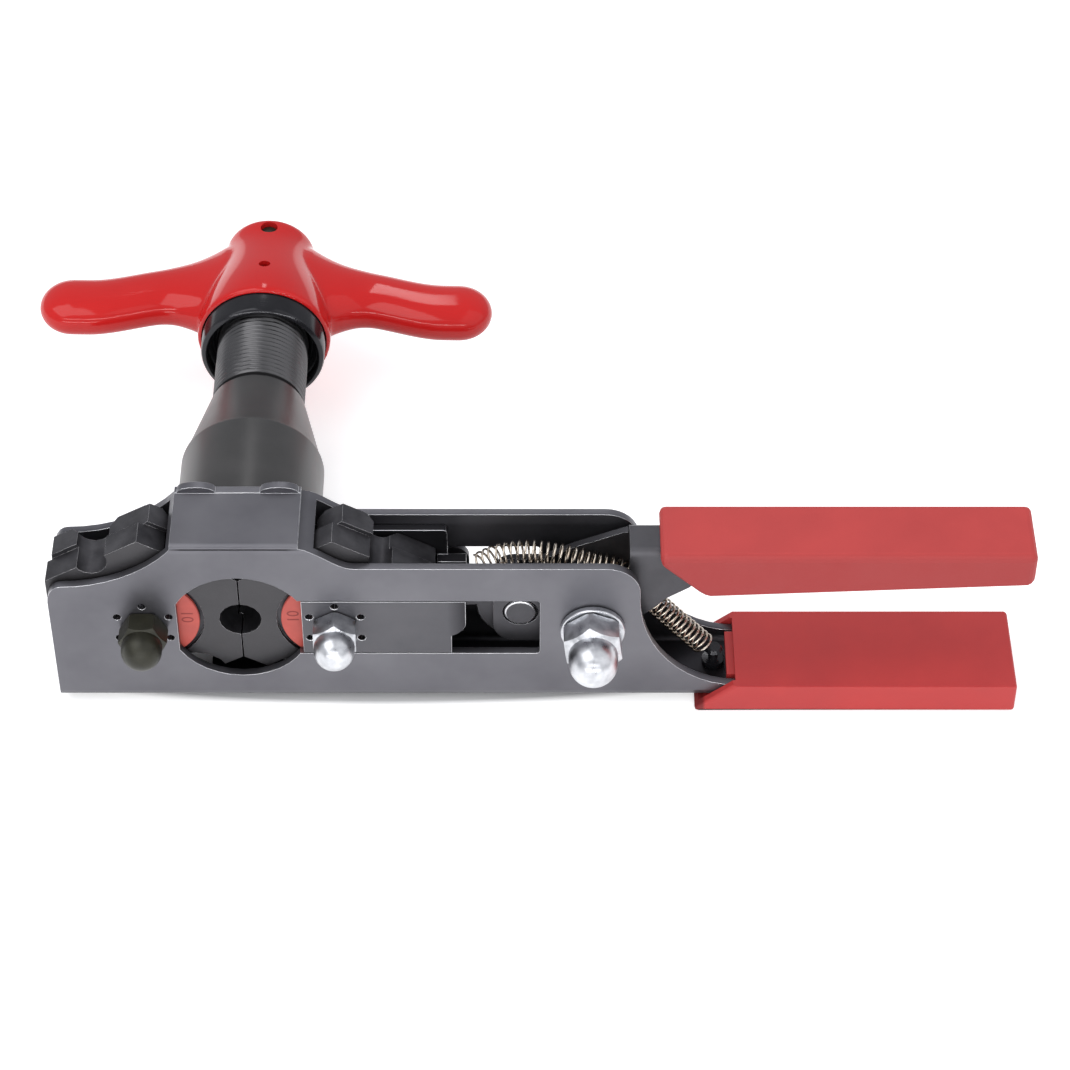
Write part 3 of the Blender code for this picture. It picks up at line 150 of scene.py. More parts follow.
# %% [markdown]
# One kind of surface for every finish
# A real finish is never one colour. Each material here has two tones, and one effect says how much of
# either shows. The roughness follows the same effect, as a worn spot is both lighter and smoother, and
# a fine grain may add a bump. A material could be drawn by hand for each piece, but one function keeps
# them alike and easy to compare.

# %% A surface from its tones
BUMP_DEPTH = 0.0001


def effect(tree, group, scale):
    made = node(tree, "ShaderNodeGroup", node_tree=group)
    made.inputs["Scale"].default_value = scale
    return made.outputs[0]


def ranged(tree, value, low, high, start=0.3, stop=0.7):
    made = node(tree, "ShaderNodeMapRange")
    for name, number in (("From Min", start), ("From Max", stop), ("To Min", low), ("To Max", high)):
        made.inputs[name].default_value = number
    feed(tree, value, made.inputs["Value"])
    return made.outputs["Result"]


def mixed(tree, factor, first, second):
    made = node(tree, "ShaderNodeMix", data_type="RGBA")
    for socket, colour in ((made.inputs[6], first), (made.inputs[7], second)):
        if isinstance(colour, tuple):
            socket.default_value = (*colour, 1.0)
        else:
            feed(tree, colour, socket)
    feed(tree, factor, made.inputs[0])
    return made.outputs[2]


def surface(
    name, dark, light, roughness, metallic, pattern, scale, bump=0.0, bump_scale=3000.0, specular=0.5
):
    material = bpy.data.materials.new(name)
    material.use_nodes = True
    tree = material.node_tree
    shader = tree.nodes["Principled BSDF"]
    shader.inputs["Metallic"].default_value = metallic
    shader.inputs["Specular IOR Level"].default_value = specular
    mask = effect(tree, pattern, scale)
    feed(tree, mixed(tree, ranged(tree, mask, 0.0, 1.0), dark, light), shader.inputs["Base Color"])
    feed(tree, ranged(tree, mask, roughness[0], roughness[1]), shader.inputs["Roughness"])
    if bump:
        raised = node(tree, "ShaderNodeBump")
        raised.inputs["Strength"].default_value = bump
        raised.inputs["Distance"].default_value = BUMP_DEPTH
        feed(tree, effect(tree, grain, bump_scale), raised.inputs["Height"])
        feed(tree, raised.outputs["Normal"], shader.inputs["Normal"])
    return material


print("bumps are up to", BUMP_DEPTH * 1000, "mm deep")

# %% [markdown]
# Sheet steel
# The frame, the slide and the levers are pickled sheet steel: a grey with a slight cloud in it. Where a
# punch or a file broke an edge, bare metal shows, so the edges get a bright finish of their own. The
# slide and the levers are darker than the frame, as less light reaches them on the real tool too.

# %% Sheet steel
gunmetal = surface(
    "gunmetal_sheet", (0.090, 0.089, 0.098), (0.118, 0.116, 0.126), roughness=(0.36, 0.46), metallic=0.85,
    pattern=clouds, scale=75.0, bump=0.10, bump_scale=2200.0,
)
frame_sheet = surface(
    "frame_sheet", (0.122, 0.120, 0.134), (0.180, 0.178, 0.194), roughness=(0.34, 0.46), metallic=0.85,
    pattern=clouds, scale=38.0, bump=0.12, bump_scale=2200.0,
)
lever_sheet = surface(
    "lever_sheet", (0.060, 0.059, 0.065), (0.092, 0.090, 0.098), roughness=(0.36, 0.46), metallic=0.8,
    pattern=clouds, scale=90.0, bump=0.1,
)
cut_edge = surface(
    "cut_edge", (0.52, 0.52, 0.54), (0.80, 0.80, 0.82), roughness=(0.24, 0.36), metallic=1.0,
    pattern=streaks, scale=700.0,
)
print("sheet steel:", gunmetal.name, frame_sheet.name, lever_sheet.name, cut_edge.name)

# %% [markdown]
# Blackened steel
# The dies are oxidised black over a rough casting, so they take the strongest bump. The nose is turned
# first and blackened afterwards, which leaves it satin, and its thread shines a little more because
# the handle rubs it. The insert is a glossier black.

# %% Blackened steel
die_black = surface(
    "die_black", (0.030, 0.029, 0.033), (0.082, 0.080, 0.087), roughness=(0.38, 0.52), metallic=0.75,
    pattern=clouds, scale=150.0, bump=0.35, bump_scale=1500.0,
)
die_worn = surface(
    "die_worn_edge", (0.46, 0.455, 0.47), (0.90, 0.89, 0.91), roughness=(0.26, 0.38), metallic=0.95,
    pattern=clouds, scale=420.0,
)
satin_black = surface(
    "satin_black", (0.054, 0.053, 0.053), (0.072, 0.070, 0.070), roughness=(0.30, 0.38), metallic=0.45,
    pattern=clouds, scale=60.0, bump=0.06, specular=0.3,
)
thread_black = surface(
    "thread_black", (0.085, 0.084, 0.087), (0.12, 0.118, 0.122), roughness=(0.26, 0.34), metallic=0.85,
    pattern=clouds, scale=40.0,
)
gloss_black = surface(
    "gloss_black", (0.014, 0.014, 0.017), (0.026, 0.026, 0.030), roughness=(0.14, 0.22), metallic=0.5,
    pattern=clouds, scale=90.0,
)
print("blackened:", die_black.name, die_worn.name, satin_black.name, thread_black.name, gloss_black.name)

# %% [markdown]
# Nuts, pins and wire
# Two cap nuts are bright zinc, which is a little mottled, and one is dark olive. Pins and shafts are
# ground, so fine streaks run along them. The spring's wire is drawn and slightly yellow.

# %% Nuts, pins and wire
zinc = surface(
    "bright_zinc", (0.44, 0.45, 0.475), (0.74, 0.75, 0.775), roughness=(0.26, 0.40), metallic=1.0,
    pattern=clouds, scale=330.0, bump=0.12, bump_scale=900.0,
)
olive_nut = surface(
    "olive_black_nut", (0.013, 0.0125, 0.007), (0.028, 0.027, 0.015), roughness=(0.36, 0.50), metallic=0.3,
    pattern=clouds, scale=200.0, bump=0.12,
)
bright_steel = surface(
    "bright_steel", (0.40, 0.40, 0.42), (0.56, 0.56, 0.58), roughness=(0.22, 0.34), metallic=1.0,
    pattern=streaks, scale=900.0,
)
spring_steel = surface(
    "spring_steel", (0.46, 0.38, 0.30), (0.74, 0.68, 0.60), roughness=(0.18, 0.30), metallic=1.0,
    pattern=clouds, scale=500.0,
)
print("bare metal:", zinc.name, olive_nut.name, bright_steel.name, spring_steel.name)

# %% [markdown]
# The reds
# The T-handle is dipped in gloss enamel, so it is smooth and its highlights are small. The grips are
# dipped in matt vinyl, and the lower one is a shade deeper. The dials are a matt coral, and their
# digits are printed in a darker red.

# %% The reds
red_enamel = surface(
    "red_enamel", (0.51, 0.012, 0.012), (0.56, 0.015, 0.014), roughness=(0.07, 0.10), metallic=0.0,
    pattern=clouds, scale=30.0, bump=0.02, bump_scale=400.0, specular=0.3,
)
grip_red = surface(
    "grip_vinyl", (0.43, 0.036, 0.034), (0.49, 0.046, 0.043), roughness=(0.50, 0.62), metallic=0.0,
    pattern=clouds, scale=60.0, bump=0.25, bump_scale=1600.0,
)
lower_vinyl = surface(
    "lower_vinyl", (0.43, 0.028, 0.028), (0.49, 0.038, 0.036), roughness=(0.46, 0.58), metallic=0.0,
    pattern=clouds, scale=60.0, bump=0.25, bump_scale=1600.0,
)
dial_red = surface(
    "dial_coral", (0.45, 0.072, 0.056), (0.52, 0.092, 0.072), roughness=(0.42, 0.55), metallic=0.0,
    pattern=clouds, scale=300.0, bump=0.1,
)
digit_ink = surface(
    "digit_ink", (0.22, 0.028, 0.022), (0.28, 0.036, 0.030), roughness=(0.5, 0.6), metallic=0.0,
    pattern=clouds, scale=300.0,
)
print("reds:", red_enamel.name, grip_red.name, lower_vinyl.name, dial_red.name, digit_ink.name)

# %% [markdown]
# Painted shade, and tones that keep to one place
# The inside of the frame and the slide's parts between the plates are painted much darker than their
# fronts, as painted shade, and the groove line on the bridge is painted dark as its shade. The slide's
# front bar is painted darker towards its rounded right end, and the upper grip's front is painted
# darker, both as painted shade. The wheels' fronts take one even tone, and the lower grip darkens at
# its mouth. The mesh could be cut there and take more materials, but a mask from the piece's own
# coordinates needs no cut, and its border can be soft.

# %% Tones by place
SOFT_SHARE = 0.08


def tinted(material, tint, *limits):
    """A second tone where the piece's own coordinates lie between the limits on every given axis."""
    tree = material.node_tree
    socket = tree.nodes["Principled BSDF"].inputs["Base Color"]
    plain = socket.links[0].from_socket
    place = node(tree, "ShaderNodeTexCoord")
    parts = node(tree, "ShaderNodeSeparateXYZ")
    feed(tree, place.outputs["Object"], parts.inputs["Vector"])
    mask = None
    for axis, low, high in limits:
        soft = (high - low) * SOFT_SHARE
        for start, stop, edge in ((0.0, 1.0, low), (1.0, 0.0, high)):
            step = ranged(tree, parts.outputs[axis], start, stop, edge - soft, edge + soft)
            if mask is None:
                mask = step
                continue
            product = node(tree, "ShaderNodeMath", operation="MULTIPLY")
            feed(tree, mask, product.inputs[0])
            feed(tree, step, product.inputs[1])
            mask = product.outputs[0]
    feed(tree, mixed(tree, mask, plain, tint), socket)


# Painted shade: the frame is painted dark between its plates and along the bridge's groove line.
frame_inside_shade = (("Y", -0.0081, 0.0081), ("Z", -0.05, 0.0215))
bridge_groove_shade = (("Z", 0.02535, 0.0257), ("X", -0.0144, 0.0144))
tinted(frame_sheet, (0.026, 0.025, 0.029), *frame_inside_shade)
tinted(frame_sheet, (0.030, 0.029, 0.033), *bridge_groove_shade)
tinted(die_black, (0.066, 0.064, 0.068), ("Y", -0.0078, -0.0069))
# Painted shade: the slide's front bar is painted darker towards its rounded right end.
tinted(gunmetal, (0.024, 0.023, 0.027), ("X", 0.0512, 0.0800))
# Painted shade: the slide's parts between the plates are painted darker.
tinted(gunmetal, (0.045, 0.044, 0.049), ("Y", -0.0078, 0.02))
tinted(lower_vinyl, (0.19, 0.010, 0.010), ("X", 0.106, 0.1100))
# Painted shade: the upper grip's front face is painted darker, as if shaded from above.
tinted(grip_red, (0.32, 0.025, 0.024), ("Y", -0.0200, -0.0082))
print("nodes in the frame's material:", len(frame_sheet.node_tree.nodes))

# %% [markdown]
# Every solid gets its finish first
# The record names a slot for each solid, so one table from slot to finish dresses them all. The cross
# pin and the lower grip differ from their slot's tone. Pieces that are seen closely are rebuilt further
# down, and hide the solid that they stand for.

# %% Finishes on the solids
SHARP_ANGLE = 32
finish_of_slot = {
    "gunmetal": gunmetal, "die_black": die_black, "dial_red": dial_red, "bright_steel": bright_steel,
    "spring_steel": spring_steel, "satin_black": satin_black, "dark_nut": olive_nut, "zinc": zinc,
    "grip_red": grip_red, "gloss_black": gloss_black, "red_enamel": red_enamel,
}


def set_finish(obj, *materials):
    obj.data.materials.clear()
    for material in materials:
        obj.data.materials.append(material)


def smooth(obj, angle=SHARP_ANGLE):
    """Smooth shading, with a crisp line where two faces meet at more than the angle."""
    obj.data.shade_smooth()
    obj.data.set_sharp_from_angle(angle=math.radians(angle))
    return obj


for name, solid in frame["nodes"].items():
    set_finish(solid, finish_of_slot[slots[name]])
    smooth(solid)
set_finish(frame["nodes"]["cross_pin"], olive_nut)
set_finish(frame["nodes"]["lower_grip"], lower_vinyl)
print("dressed", len(slots), "solids in", len(finish_of_slot), "finishes")

# %% [markdown]
# Broken edges
# Punched sheet and machined steel catch the light along their edges, and the solids have sharp ones.
# Light lines could be painted there, but a small bevel catches the real lamps from every side. A copy of
# the solid, with its flat faces made whole again, takes the bevel in a brighter finish.

# %% Copies with broken edges
MERGE_DISTANCE = 0.000002
FLAT_WITHIN = math.radians(0.6)


def place(obj, node_name):
    """The piece rides where the solid does, and the solid is hidden."""
    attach(obj, body_of_node[node_name])
    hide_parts(node_name)
    return obj


def whole_faces(node_name):
    mesh = frame["nodes"][node_name].data.copy()
    edit = bmesh.new()
    edit.from_mesh(mesh)
    bmesh.ops.remove_doubles(edit, verts=edit.verts, dist=MERGE_DISTANCE)
    bmesh.ops.dissolve_limit(edit, angle_limit=FLAT_WITHIN, verts=edit.verts, edges=edit.edges)
    edit.to_mesh(mesh)
    edit.free()
    return mesh


def edged(node_name, width, face, edge, angle=35):
    obj = added(node_name + "_edged", whole_faces(node_name))
    set_finish(obj, face, edge)
    bevel = obj.modifiers.new("broken_edges", "BEVEL")
    bevel.width = width
    bevel.segments = 2
    bevel.limit_method = "ANGLE"
    bevel.angle_limit = math.radians(angle)
    bevel.use_clamp_overlap = True
    bevel.material = 1
    return place(smooth(obj), node_name)


edged("housing", 0.0004, frame_sheet, cut_edge)
edged("jaw_slide", 0.0002, gunmetal, cut_edge)
for name in ("toggle_link", "handle_lever"):
    edged(name, 0.0002, lever_sheet, cut_edge)
for name in ("fixed_die_wheel", "moving_die_wheel"):
    edged(name, 0.0003, die_black, die_worn, angle=25)
edged("pivot_washer", 0.0003, zinc, zinc)
edged("crank_pin", 0.0002, lever_sheet, cut_edge)

# %% [markdown]
# Tongue of the jaw slide
# Behind the link, the slide's rear bar ends in a tongue with round corners, which runs in the back
# plate's slot. The solid has only its lower part. The solid could be stretched, but that would pull
# its block along, so a small plate adds the rest and rides on the slide's body.

# %% Tongue
TONGUE_LEFT, TONGUE_RIGHT = 0.0470, 0.0538
TONGUE_HALF_HEIGHT = 0.0085
TONGUE_CORNER = 0.0040
TONGUE_FRONT, TONGUE_BACK = 0.00815, 0.00985


def round_ended(left, right, half, radius, steps=8):
    """An outline in X and Z with two round corners at its right end."""
    points = [(left, -half)]
    for centre, first in (((right - radius, radius - half), -90), ((right - radius, half - radius), 0)):
        for step in range(steps + 1):
            angle = math.radians(first + 90 * step / steps)
            points.append((centre[0] + radius * math.cos(angle), centre[1] + radius * math.sin(angle)))
    return [*points, (left, half)]


def from_edit(name, edit):
    mesh = bpy.data.meshes.new(name)
    edit.to_mesh(mesh)
    edit.free()
    return added(name, mesh)


def upright_plate(name, outline, front, back):
    edit = bmesh.new()
    face = edit.faces.new([edit.verts.new((x, front, z)) for x, z in outline])
    raised = bmesh.ops.extrude_face_region(edit, geom=[face])
    corners = [item for item in raised["geom"] if isinstance(item, bmesh.types.BMVert)]
    bmesh.ops.translate(edit, vec=(0.0, back - front, 0.0), verts=corners)
    bmesh.ops.recalc_face_normals(edit, faces=edit.faces)
    return from_edit(name, edit)


tongue_outline = round_ended(TONGUE_LEFT, TONGUE_RIGHT, TONGUE_HALF_HEIGHT, TONGUE_CORNER)
tongue = smooth(upright_plate("slide_tongue", tongue_outline, TONGUE_FRONT, TONGUE_BACK))
set_finish(tongue, lever_sheet)
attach(tongue, body_of_node["jaw_slide"])
print("tongue to X", round(TONGUE_RIGHT * 1000, 1), "mm")

# %% [markdown]
# Turned pieces
# Nuts, nose, insert, dials and hub are turned on a lathe. A screw modifier could spin an edge, but a
# short loop places each ring of points where it should be. A line of radius and length, spun about Y,
# makes each piece round enough for close views. Booleans then join or cut such forms.

# %% Turning, and joining forms
TURNING_STEPS = 96


def from_lists(name, points, faces):
    mesh = bpy.data.meshes.new(name)
    mesh.from_pydata(points, [], faces)
    return added(name, mesh)


def facing_out(obj):
    edit = bmesh.new()
    edit.from_mesh(obj.data)
    bmesh.ops.recalc_face_normals(edit, faces=edit.faces)
    edit.to_mesh(obj.data)
    edit.free()
    return obj


def turned(name, profile, centre=(0.0, 0.0), steps=TURNING_STEPS):
    """Spins (radius, y) pairs about a line along Y, which passes centre in X and Z."""
    rows, points, faces = [], [], []
    for radius, y in profile:
        if radius == 0.0:
            rows.append([len(points)])
            points.append((centre[0], y, centre[1]))
            continue
        rows.append(list(range(len(points), len(points) + steps)))
        for step in range(steps):
            angle = 2 * math.pi * step / steps
            points.append((centre[0] + radius * math.cos(angle), y, centre[1] + radius * math.sin(angle)))
    for first, second in zip(rows, rows[1:]):
        for i in range(steps):
            j = (i + 1) % steps
            corners = [row[k % len(row)] for row, k in ((first, i), (first, j), (second, j), (second, i))]
            corners = list(dict.fromkeys(corners))
            if len(corners) > 2:
                faces.append(corners)
    obj = from_lists(name, points, faces)
    obj.data.validate()
    return facing_out(obj)


def applied(obj):
    """The object's evaluated mesh takes the place of its own, and its modifiers go."""
    bpy.context.view_layer.update()
    graph = bpy.context.evaluated_depsgraph_get()
    mesh = bpy.data.meshes.new_from_object(obj.evaluated_get(graph))
    obj.modifiers.clear()
    obj.data = mesh
    return obj


def combined(obj, other, operation):
    step = obj.modifiers.new(operation, "BOOLEAN")
    step.operation = operation
    step.solver = "EXACT"
    step.object = other
    applied(obj)
    bpy.data.objects.remove(other, do_unlink=True)
    return obj


print("turned pieces have", TURNING_STEPS, "sides")

# %% [markdown]
# Cap nuts
# A cap nut is a hexagon whose corners were turned to a slope, with a dome pressed on top. The curved
# lines where the slope cuts the flats are hard to draw. They come by themselves when a hexagonal prism
# meets a turned blank, as they do on the lathe.

# %% Hexagon
ALONG_Y = Matrix.Rotation(math.pi / 2, 4, "X")


def hexagon(name, centre, flats, front, back, turn):
    corner = flats / math.sqrt(3)
    edit = bmesh.new()
    bmesh.ops.create_cone(
        edit, cap_ends=True, segments=6, radius1=corner, radius2=corner, depth=back - front
    )
    bmesh.ops.transform(edit, matrix=Matrix.Rotation(math.radians(turn), 4, "Z"), verts=edit.verts)
    bmesh.ops.transform(edit, matrix=ALONG_Y, verts=edit.verts)
    bmesh.ops.translate(edit, vec=(centre[0], (front + back) / 2, centre[1]), verts=edit.verts)
    return from_edit(name, edit)


print("a 10 mm nut is", round(20 / math.sqrt(3), 2), "mm over its corners")

# %% Cap nuts
DOME_STEPS = 12
DOME_SUNK = 0.0004
SOFT_CORNER = 0.00018
SMALL_CAP = {"flats": 0.0100, "hex_height": 0.0055, "dome": 0.0096, "height": 0.0120}
LARGE_CAP = {"flats": 0.0130, "hex_height": 0.0065, "dome": 0.0116, "height": 0.0150}


def cap_nut(node_name, turn, finish, flats, hex_height, dome, height):
    low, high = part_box(node_name)
    centre = ((low[0] + high[0]) / 2, 0.0)
    seat = high[1]
    front, tip = seat - hex_height, seat - height
    corner = flats / math.sqrt(3)
    blank = hexagon(node_name + "_fine", centre, flats, front, seat, turn)
    outside, under_dome = corner * 1.01, dome * 0.49
    slope = [
        (0.0, seat), (corner * 0.94, seat), (outside, seat - hex_height * 0.10),
        (outside, front + (outside - under_dome) * 0.75), (under_dome, front), (0.0, front),
    ]
    combined(blank, turned("slope", slope, centre), "INTERSECT")
    radius = dome / 2
    neck = radius * 0.985
    inside = front + DOME_SUNK
    shell = [(0.0, inside), (neck, inside), (neck, front - 0.0002), (radius, front - 0.0004)]
    for step in range(DOME_STEPS):
        angle = math.radians(90 * step / DOME_STEPS)
        shell.append((radius * math.cos(angle), tip + radius - radius * math.sin(angle)))
    shell.append((0.0, tip))
    combined(blank, turned("shell", shell, centre), "UNION")
    set_finish(blank, finish, finish)
    bevel = blank.modifiers.new("soft_corners", "BEVEL")
    bevel.width = SOFT_CORNER
    bevel.segments = 2
    bevel.angle_limit = math.radians(24)
    return place(smooth(applied(blank), 38), node_name)


cap_nut("moving_die_nut", 0, zinc, **SMALL_CAP)
cap_nut("fixed_die_nut", 30, olive_nut, **SMALL_CAP)
cap_nut("pivot_nut", 7, zinc, **LARGE_CAP)
print("domes:", SMALL_CAP["dome"] * 1000, "mm and", LARGE_CAP["dome"] * 1000, "mm across")

# %% [markdown]
# Spindle nose
# The nose is turned from bar and carries the thread for the T-handle. A bump could hint at the thread,
# but its outline would stay straight. On the real piece the thread is cut, so here the surface itself
# winds: each point's radius follows a V as the point goes round and along.

# %% Lines of the nose
nose_low, nose_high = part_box("spindle_nose")
NOSE_RADIUS = nose_high[0]
NOSE_BORE = 0.0101
NOSE_SPIGOT = 0.0135
NOSE_SEAT = 0.0103
NOSE_TIP_BORE = 0.0053
THREAD_RADIUS = 0.0116
THREAD_RELIEF = 0.0109
THREAD_PITCH = 0.0015
THREAD_START = 0.0665
THREAD_END = nose_high[1] - 0.0004

nose_profile = [
    (NOSE_BORE, nose_low[1]), (NOSE_SPIGOT, nose_low[1]), (NOSE_SPIGOT, NOSE_SEAT),
    (NOSE_RADIUS - 0.0003, NOSE_SEAT), (NOSE_RADIUS, 0.0106), (NOSE_RADIUS, 0.0432),
    (NOSE_RADIUS - 0.0002, 0.0440), (NOSE_RADIUS - 0.0006, 0.0446), (THREAD_RADIUS + 0.0004, 0.0650),
    (THREAD_RADIUS, 0.0654), (THREAD_RELIEF, 0.0657), (THREAD_RELIEF, THREAD_START),
]
print("thread from Y", THREAD_START, "to", round(THREAD_END, 4), "with a pitch of", THREAD_PITCH)

# %% Nose with its thread
ROWS_PER_PITCH = 8
POINTS_AROUND = 72
GROOVE_DEPTH = 0.00062
GROOVE_WIDTH = 1.15
RUN_IN = 0.001


def groove(y, share):
    """Depth of the V at a length and a share of the turn, coming in gently at the start."""
    wave = abs(((y / THREAD_PITCH - share) % 1.0) * 2 - 1)
    return GROOVE_DEPTH * max(0.0, 1 - wave * GROOVE_WIDTH) * min(1.0, (y - THREAD_START) / RUN_IN)


def threaded_nose(name):
    """Plain rows first, then rows whose radius winds, and the end."""
    rows = [(radius, y, False) for radius, y in nose_profile]
    length = THREAD_END - THREAD_START
    count = int(length / THREAD_PITCH * ROWS_PER_PITCH)
    rows += [(THREAD_RADIUS, THREAD_START + length * index / count, True) for index in range(1, count + 1)]
    rows += [(NOSE_BORE, THREAD_END, False), (NOSE_TIP_BORE, nose_high[1], False)]
    points, faces = [], []
    for radius, y, winding in rows:
        for step in range(POINTS_AROUND):
            share = step / POINTS_AROUND
            cut = radius - (groove(y, share) if winding else 0.0)
            points.append((cut * math.cos(2 * math.pi * share), y, cut * math.sin(2 * math.pi * share)))
    for row in range(len(rows) - 1):
        near, far = row * POINTS_AROUND, (row + 1) * POINTS_AROUND
        for step in range(POINTS_AROUND):
            following = (step + 1) % POINTS_AROUND
            faces.append((near + step, far + step, far + following, near + following))
    return from_lists(name, points, faces)


nose = threaded_nose("nose_threaded")
set_finish(nose, satin_black, thread_black)
for face in nose.data.polygons:
    face.material_index = int(face.center.y > THREAD_START - 0.0005)
place(smooth(nose, 28), "spindle_nose")
print("nose:", len(nose.data.polygons), "faces")

# %% [markdown]
# Threaded insert
# The black ring is pressed into the T-handle and carries the nut thread. Its mouth is counterbored and
# its rim is rounded. A bevel on the solid would round every edge alike, so its line is drawn instead.

# %% Insert
INSERT_MOUTH = 0.0144
INSERT_THREAD = 0.0119
low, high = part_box("threaded_insert")
outer, front, back = high[0], low[1], high[1]
rim = [
    (outer, back), (outer, front + 0.0012), (outer - 0.0003, front + 0.0005), (outer - 0.0009, front + 0.0001),
    (outer - 0.0013, front),
]
counterbore = [
    (INSERT_MOUTH, front + 0.0001), (0.0142, front + 0.0004), (0.0140, front + 0.0034),
    (0.0136, front + 0.0036), (0.0124, front + 0.0046), (INSERT_THREAD, front + 0.0052),
]
insert = turned("insert_fine", [*rim, *counterbore, (INSERT_THREAD, back), (outer, back)])
set_finish(insert, gloss_black)
place(smooth(insert), "threaded_insert")
print("insert outer radius", round(outer * 1000, 2), "mm")

# %% [markdown]
# T-handle
# The handle is a casting: hub and wings flow into each other. Fillets could be modelled face by face,
# but no edge of a casting is straight enough for that. The two forms are joined and remeshed finely,
# and smoothing then lays the soft fillets between them. The holes are drilled last, so they stay crisp.

# %% Lines of the wings
WING_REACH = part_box("t_handle")[1][0] - 0.0001
WING_TIP = 0.0086
HANDLE_TILT = math.radians(1.2)
WING_SQUARENESS = 0.87
PALM_Y, ROOT_SWEEP = 0.1033, 0.0050
PALM_HALF_DEPTH, ROOT_MORE_DEPTH = 0.0086, 0.0033
PALM_HALF_HEIGHT, ROOT_MORE_HEIGHT = 0.0052, 0.0018
ROOT_FROM, ROOT_SPAN = 0.029, 0.012


def eased(low, high, value):
    share = min(max((value - low) / (high - low), 0.0), 1.0)
    return share * share * (3 - 2 * share)


def wing_section(x):
    """Middle along Y, and half sizes along Y and Z: long in the palm, swelling again at the hub."""
    far = abs(x)
    middle = PALM_Y + ROOT_SWEEP * (1 - eased(0.022, 0.046, far))
    root = (max(0.0, ROOT_FROM - far) / ROOT_SPAN) ** 2
    left = WING_REACH - far
    shrink = math.sqrt(max(1 - (1 - min(left / WING_TIP, 1.0)) ** 2, 0.0))
    depth = PALM_HALF_DEPTH + ROOT_MORE_DEPTH * root
    height = PALM_HALF_HEIGHT + ROOT_MORE_HEIGHT * root
    return middle, depth * shrink, height * shrink


def wing_stations(count=40, tip_count=14, innermost=0.011):
    """Places along X, from tip to tip, that lie closer together at the round tips."""
    inner = WING_REACH - WING_TIP
    tip = [WING_REACH - WING_TIP * (1 - math.cos(math.pi / 2 * i / tip_count)) for i in range(1, tip_count)]
    half = tip + [inner - (inner - innermost) * i / count for i in range(count + 1)]
    return [-x for x in half] + half[::-1]


print("wings reach", round(WING_REACH * 1000, 1), "mm to either side")

# %% Wings
WING_POINTS = 56


def squarer(value):
    """Turns a circle's cosine or sine into that of a slightly square oval."""
    return math.copysign(abs(value) ** WING_SQUARENESS, value)


def loft_wings(name, around=WING_POINTS):
    stations = wing_stations()
    turns = [2 * math.pi * i / around for i in range(around)]
    points = []
    for x in stations:
        middle, wide, flat = wing_section(x)
        points += [(x, middle + wide * squarer(math.cos(a)), flat * squarer(math.sin(a))) for a in turns]
    faces = []
    for row in range(len(stations) - 1):
        near, far = row * around, (row + 1) * around
        for i in range(around):
            j = (i + 1) % around
            faces.append((near + i, near + j, far + j, far + i))
    faces += [tuple(range(around)), tuple(range(len(points) - around, len(points)))]
    wings = from_lists(name, points, faces)
    wings.data.transform(Matrix.Rotation(HANDLE_TILT, 4, "Y"))
    return facing_out(wings)


handle = loft_wings("t_handle_fine")
print("wings:", len(handle.data.polygons), "faces")

# %% Hub and fillets
HUB_RADIUS = 0.0117
SKIRT_SWELL = 0.0054
SKIRT_INNER = 0.0167
FLARE_START = 0.122
FLARE_STEPS = 24
hub_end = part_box("t_handle")[1][1] - 0.00005
skirt_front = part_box("threaded_insert")[0][1] + 0.0063

round_end = [(0.0, 0.0), (0.0096, 0.0), (0.0106, 0.0003), (0.0113, 0.0010), (HUB_RADIUS, 0.0020)]
hub_line = [(radius, hub_end - depth) for radius, depth in round_end]
for step in range(FLARE_STEPS + 1):
    share = step / FLARE_STEPS
    swell = SKIRT_SWELL * eased(0, 1, share) ** 0.8
    hub_line.append((HUB_RADIUS + swell, FLARE_START + (skirt_front + 0.0005 - FLARE_START) * share))
hub_line += [(SKIRT_INNER, skirt_front), (0.0, skirt_front)]
combined(handle, turned("hub", hub_line), "UNION")

remesh = handle.modifiers.new("even_mesh", "REMESH")
remesh.mode = "VOXEL"
remesh.voxel_size = 0.0005
fillets = handle.modifiers.new("fillets", "SMOOTH")
fillets.factor = 0.6
fillets.iterations = 12
applied(handle)
print("hub from Y", round(skirt_front, 4), "to", round(hub_end, 4))

# %% Bores and holes
INSERT_ROOM = 0.0161
HUB_CAVITY = 0.01225
SHAFT_ROOM = 0.0053
BORE_MOUTH = 0.06
PIN_HOLE_Y, PIN_HOLE_RADIUS = 0.1228, 0.0022
SMALL_HOLE_Y, SMALL_HOLE_RADIUS = 0.1035, 0.0015
ABOVE_HUB = 0.02


def drill(y, radius, start, end):
    """An upright rod, tilted about the spindle's axis like the holes in the casting."""
    obj = turned("drill", [(0.0, start), (radius, start), (radius, end), (0.0, end)], steps=48)
    obj.data.transform(ALONG_Y)
    obj.data.transform(Matrix.Translation((0.0, y, 0.0)) @ Matrix.Rotation(HANDLE_TILT, 4, "Y"))
    return obj


bores = [
    (0.0, BORE_MOUTH), (INSERT_ROOM, BORE_MOUTH), (INSERT_ROOM, 0.1010), (HUB_CAVITY, 0.1010),
    (HUB_CAVITY, 0.1142), (SHAFT_ROOM, 0.1142), (SHAFT_ROOM, 0.1235), (0.0, 0.1235),
]
combined(handle, turned("bores", bores), "DIFFERENCE")
combined(handle, drill(PIN_HOLE_Y, PIN_HOLE_RADIUS, -ABOVE_HUB, ABOVE_HUB), "DIFFERENCE")
combined(handle, drill(SMALL_HOLE_Y, SMALL_HOLE_RADIUS, 0.0125, ABOVE_HUB), "DIFFERENCE")
set_finish(handle, red_enamel)
place(smooth(handle, 40), "t_handle")
print("T-handle:", len(handle.data.polygons), "faces")

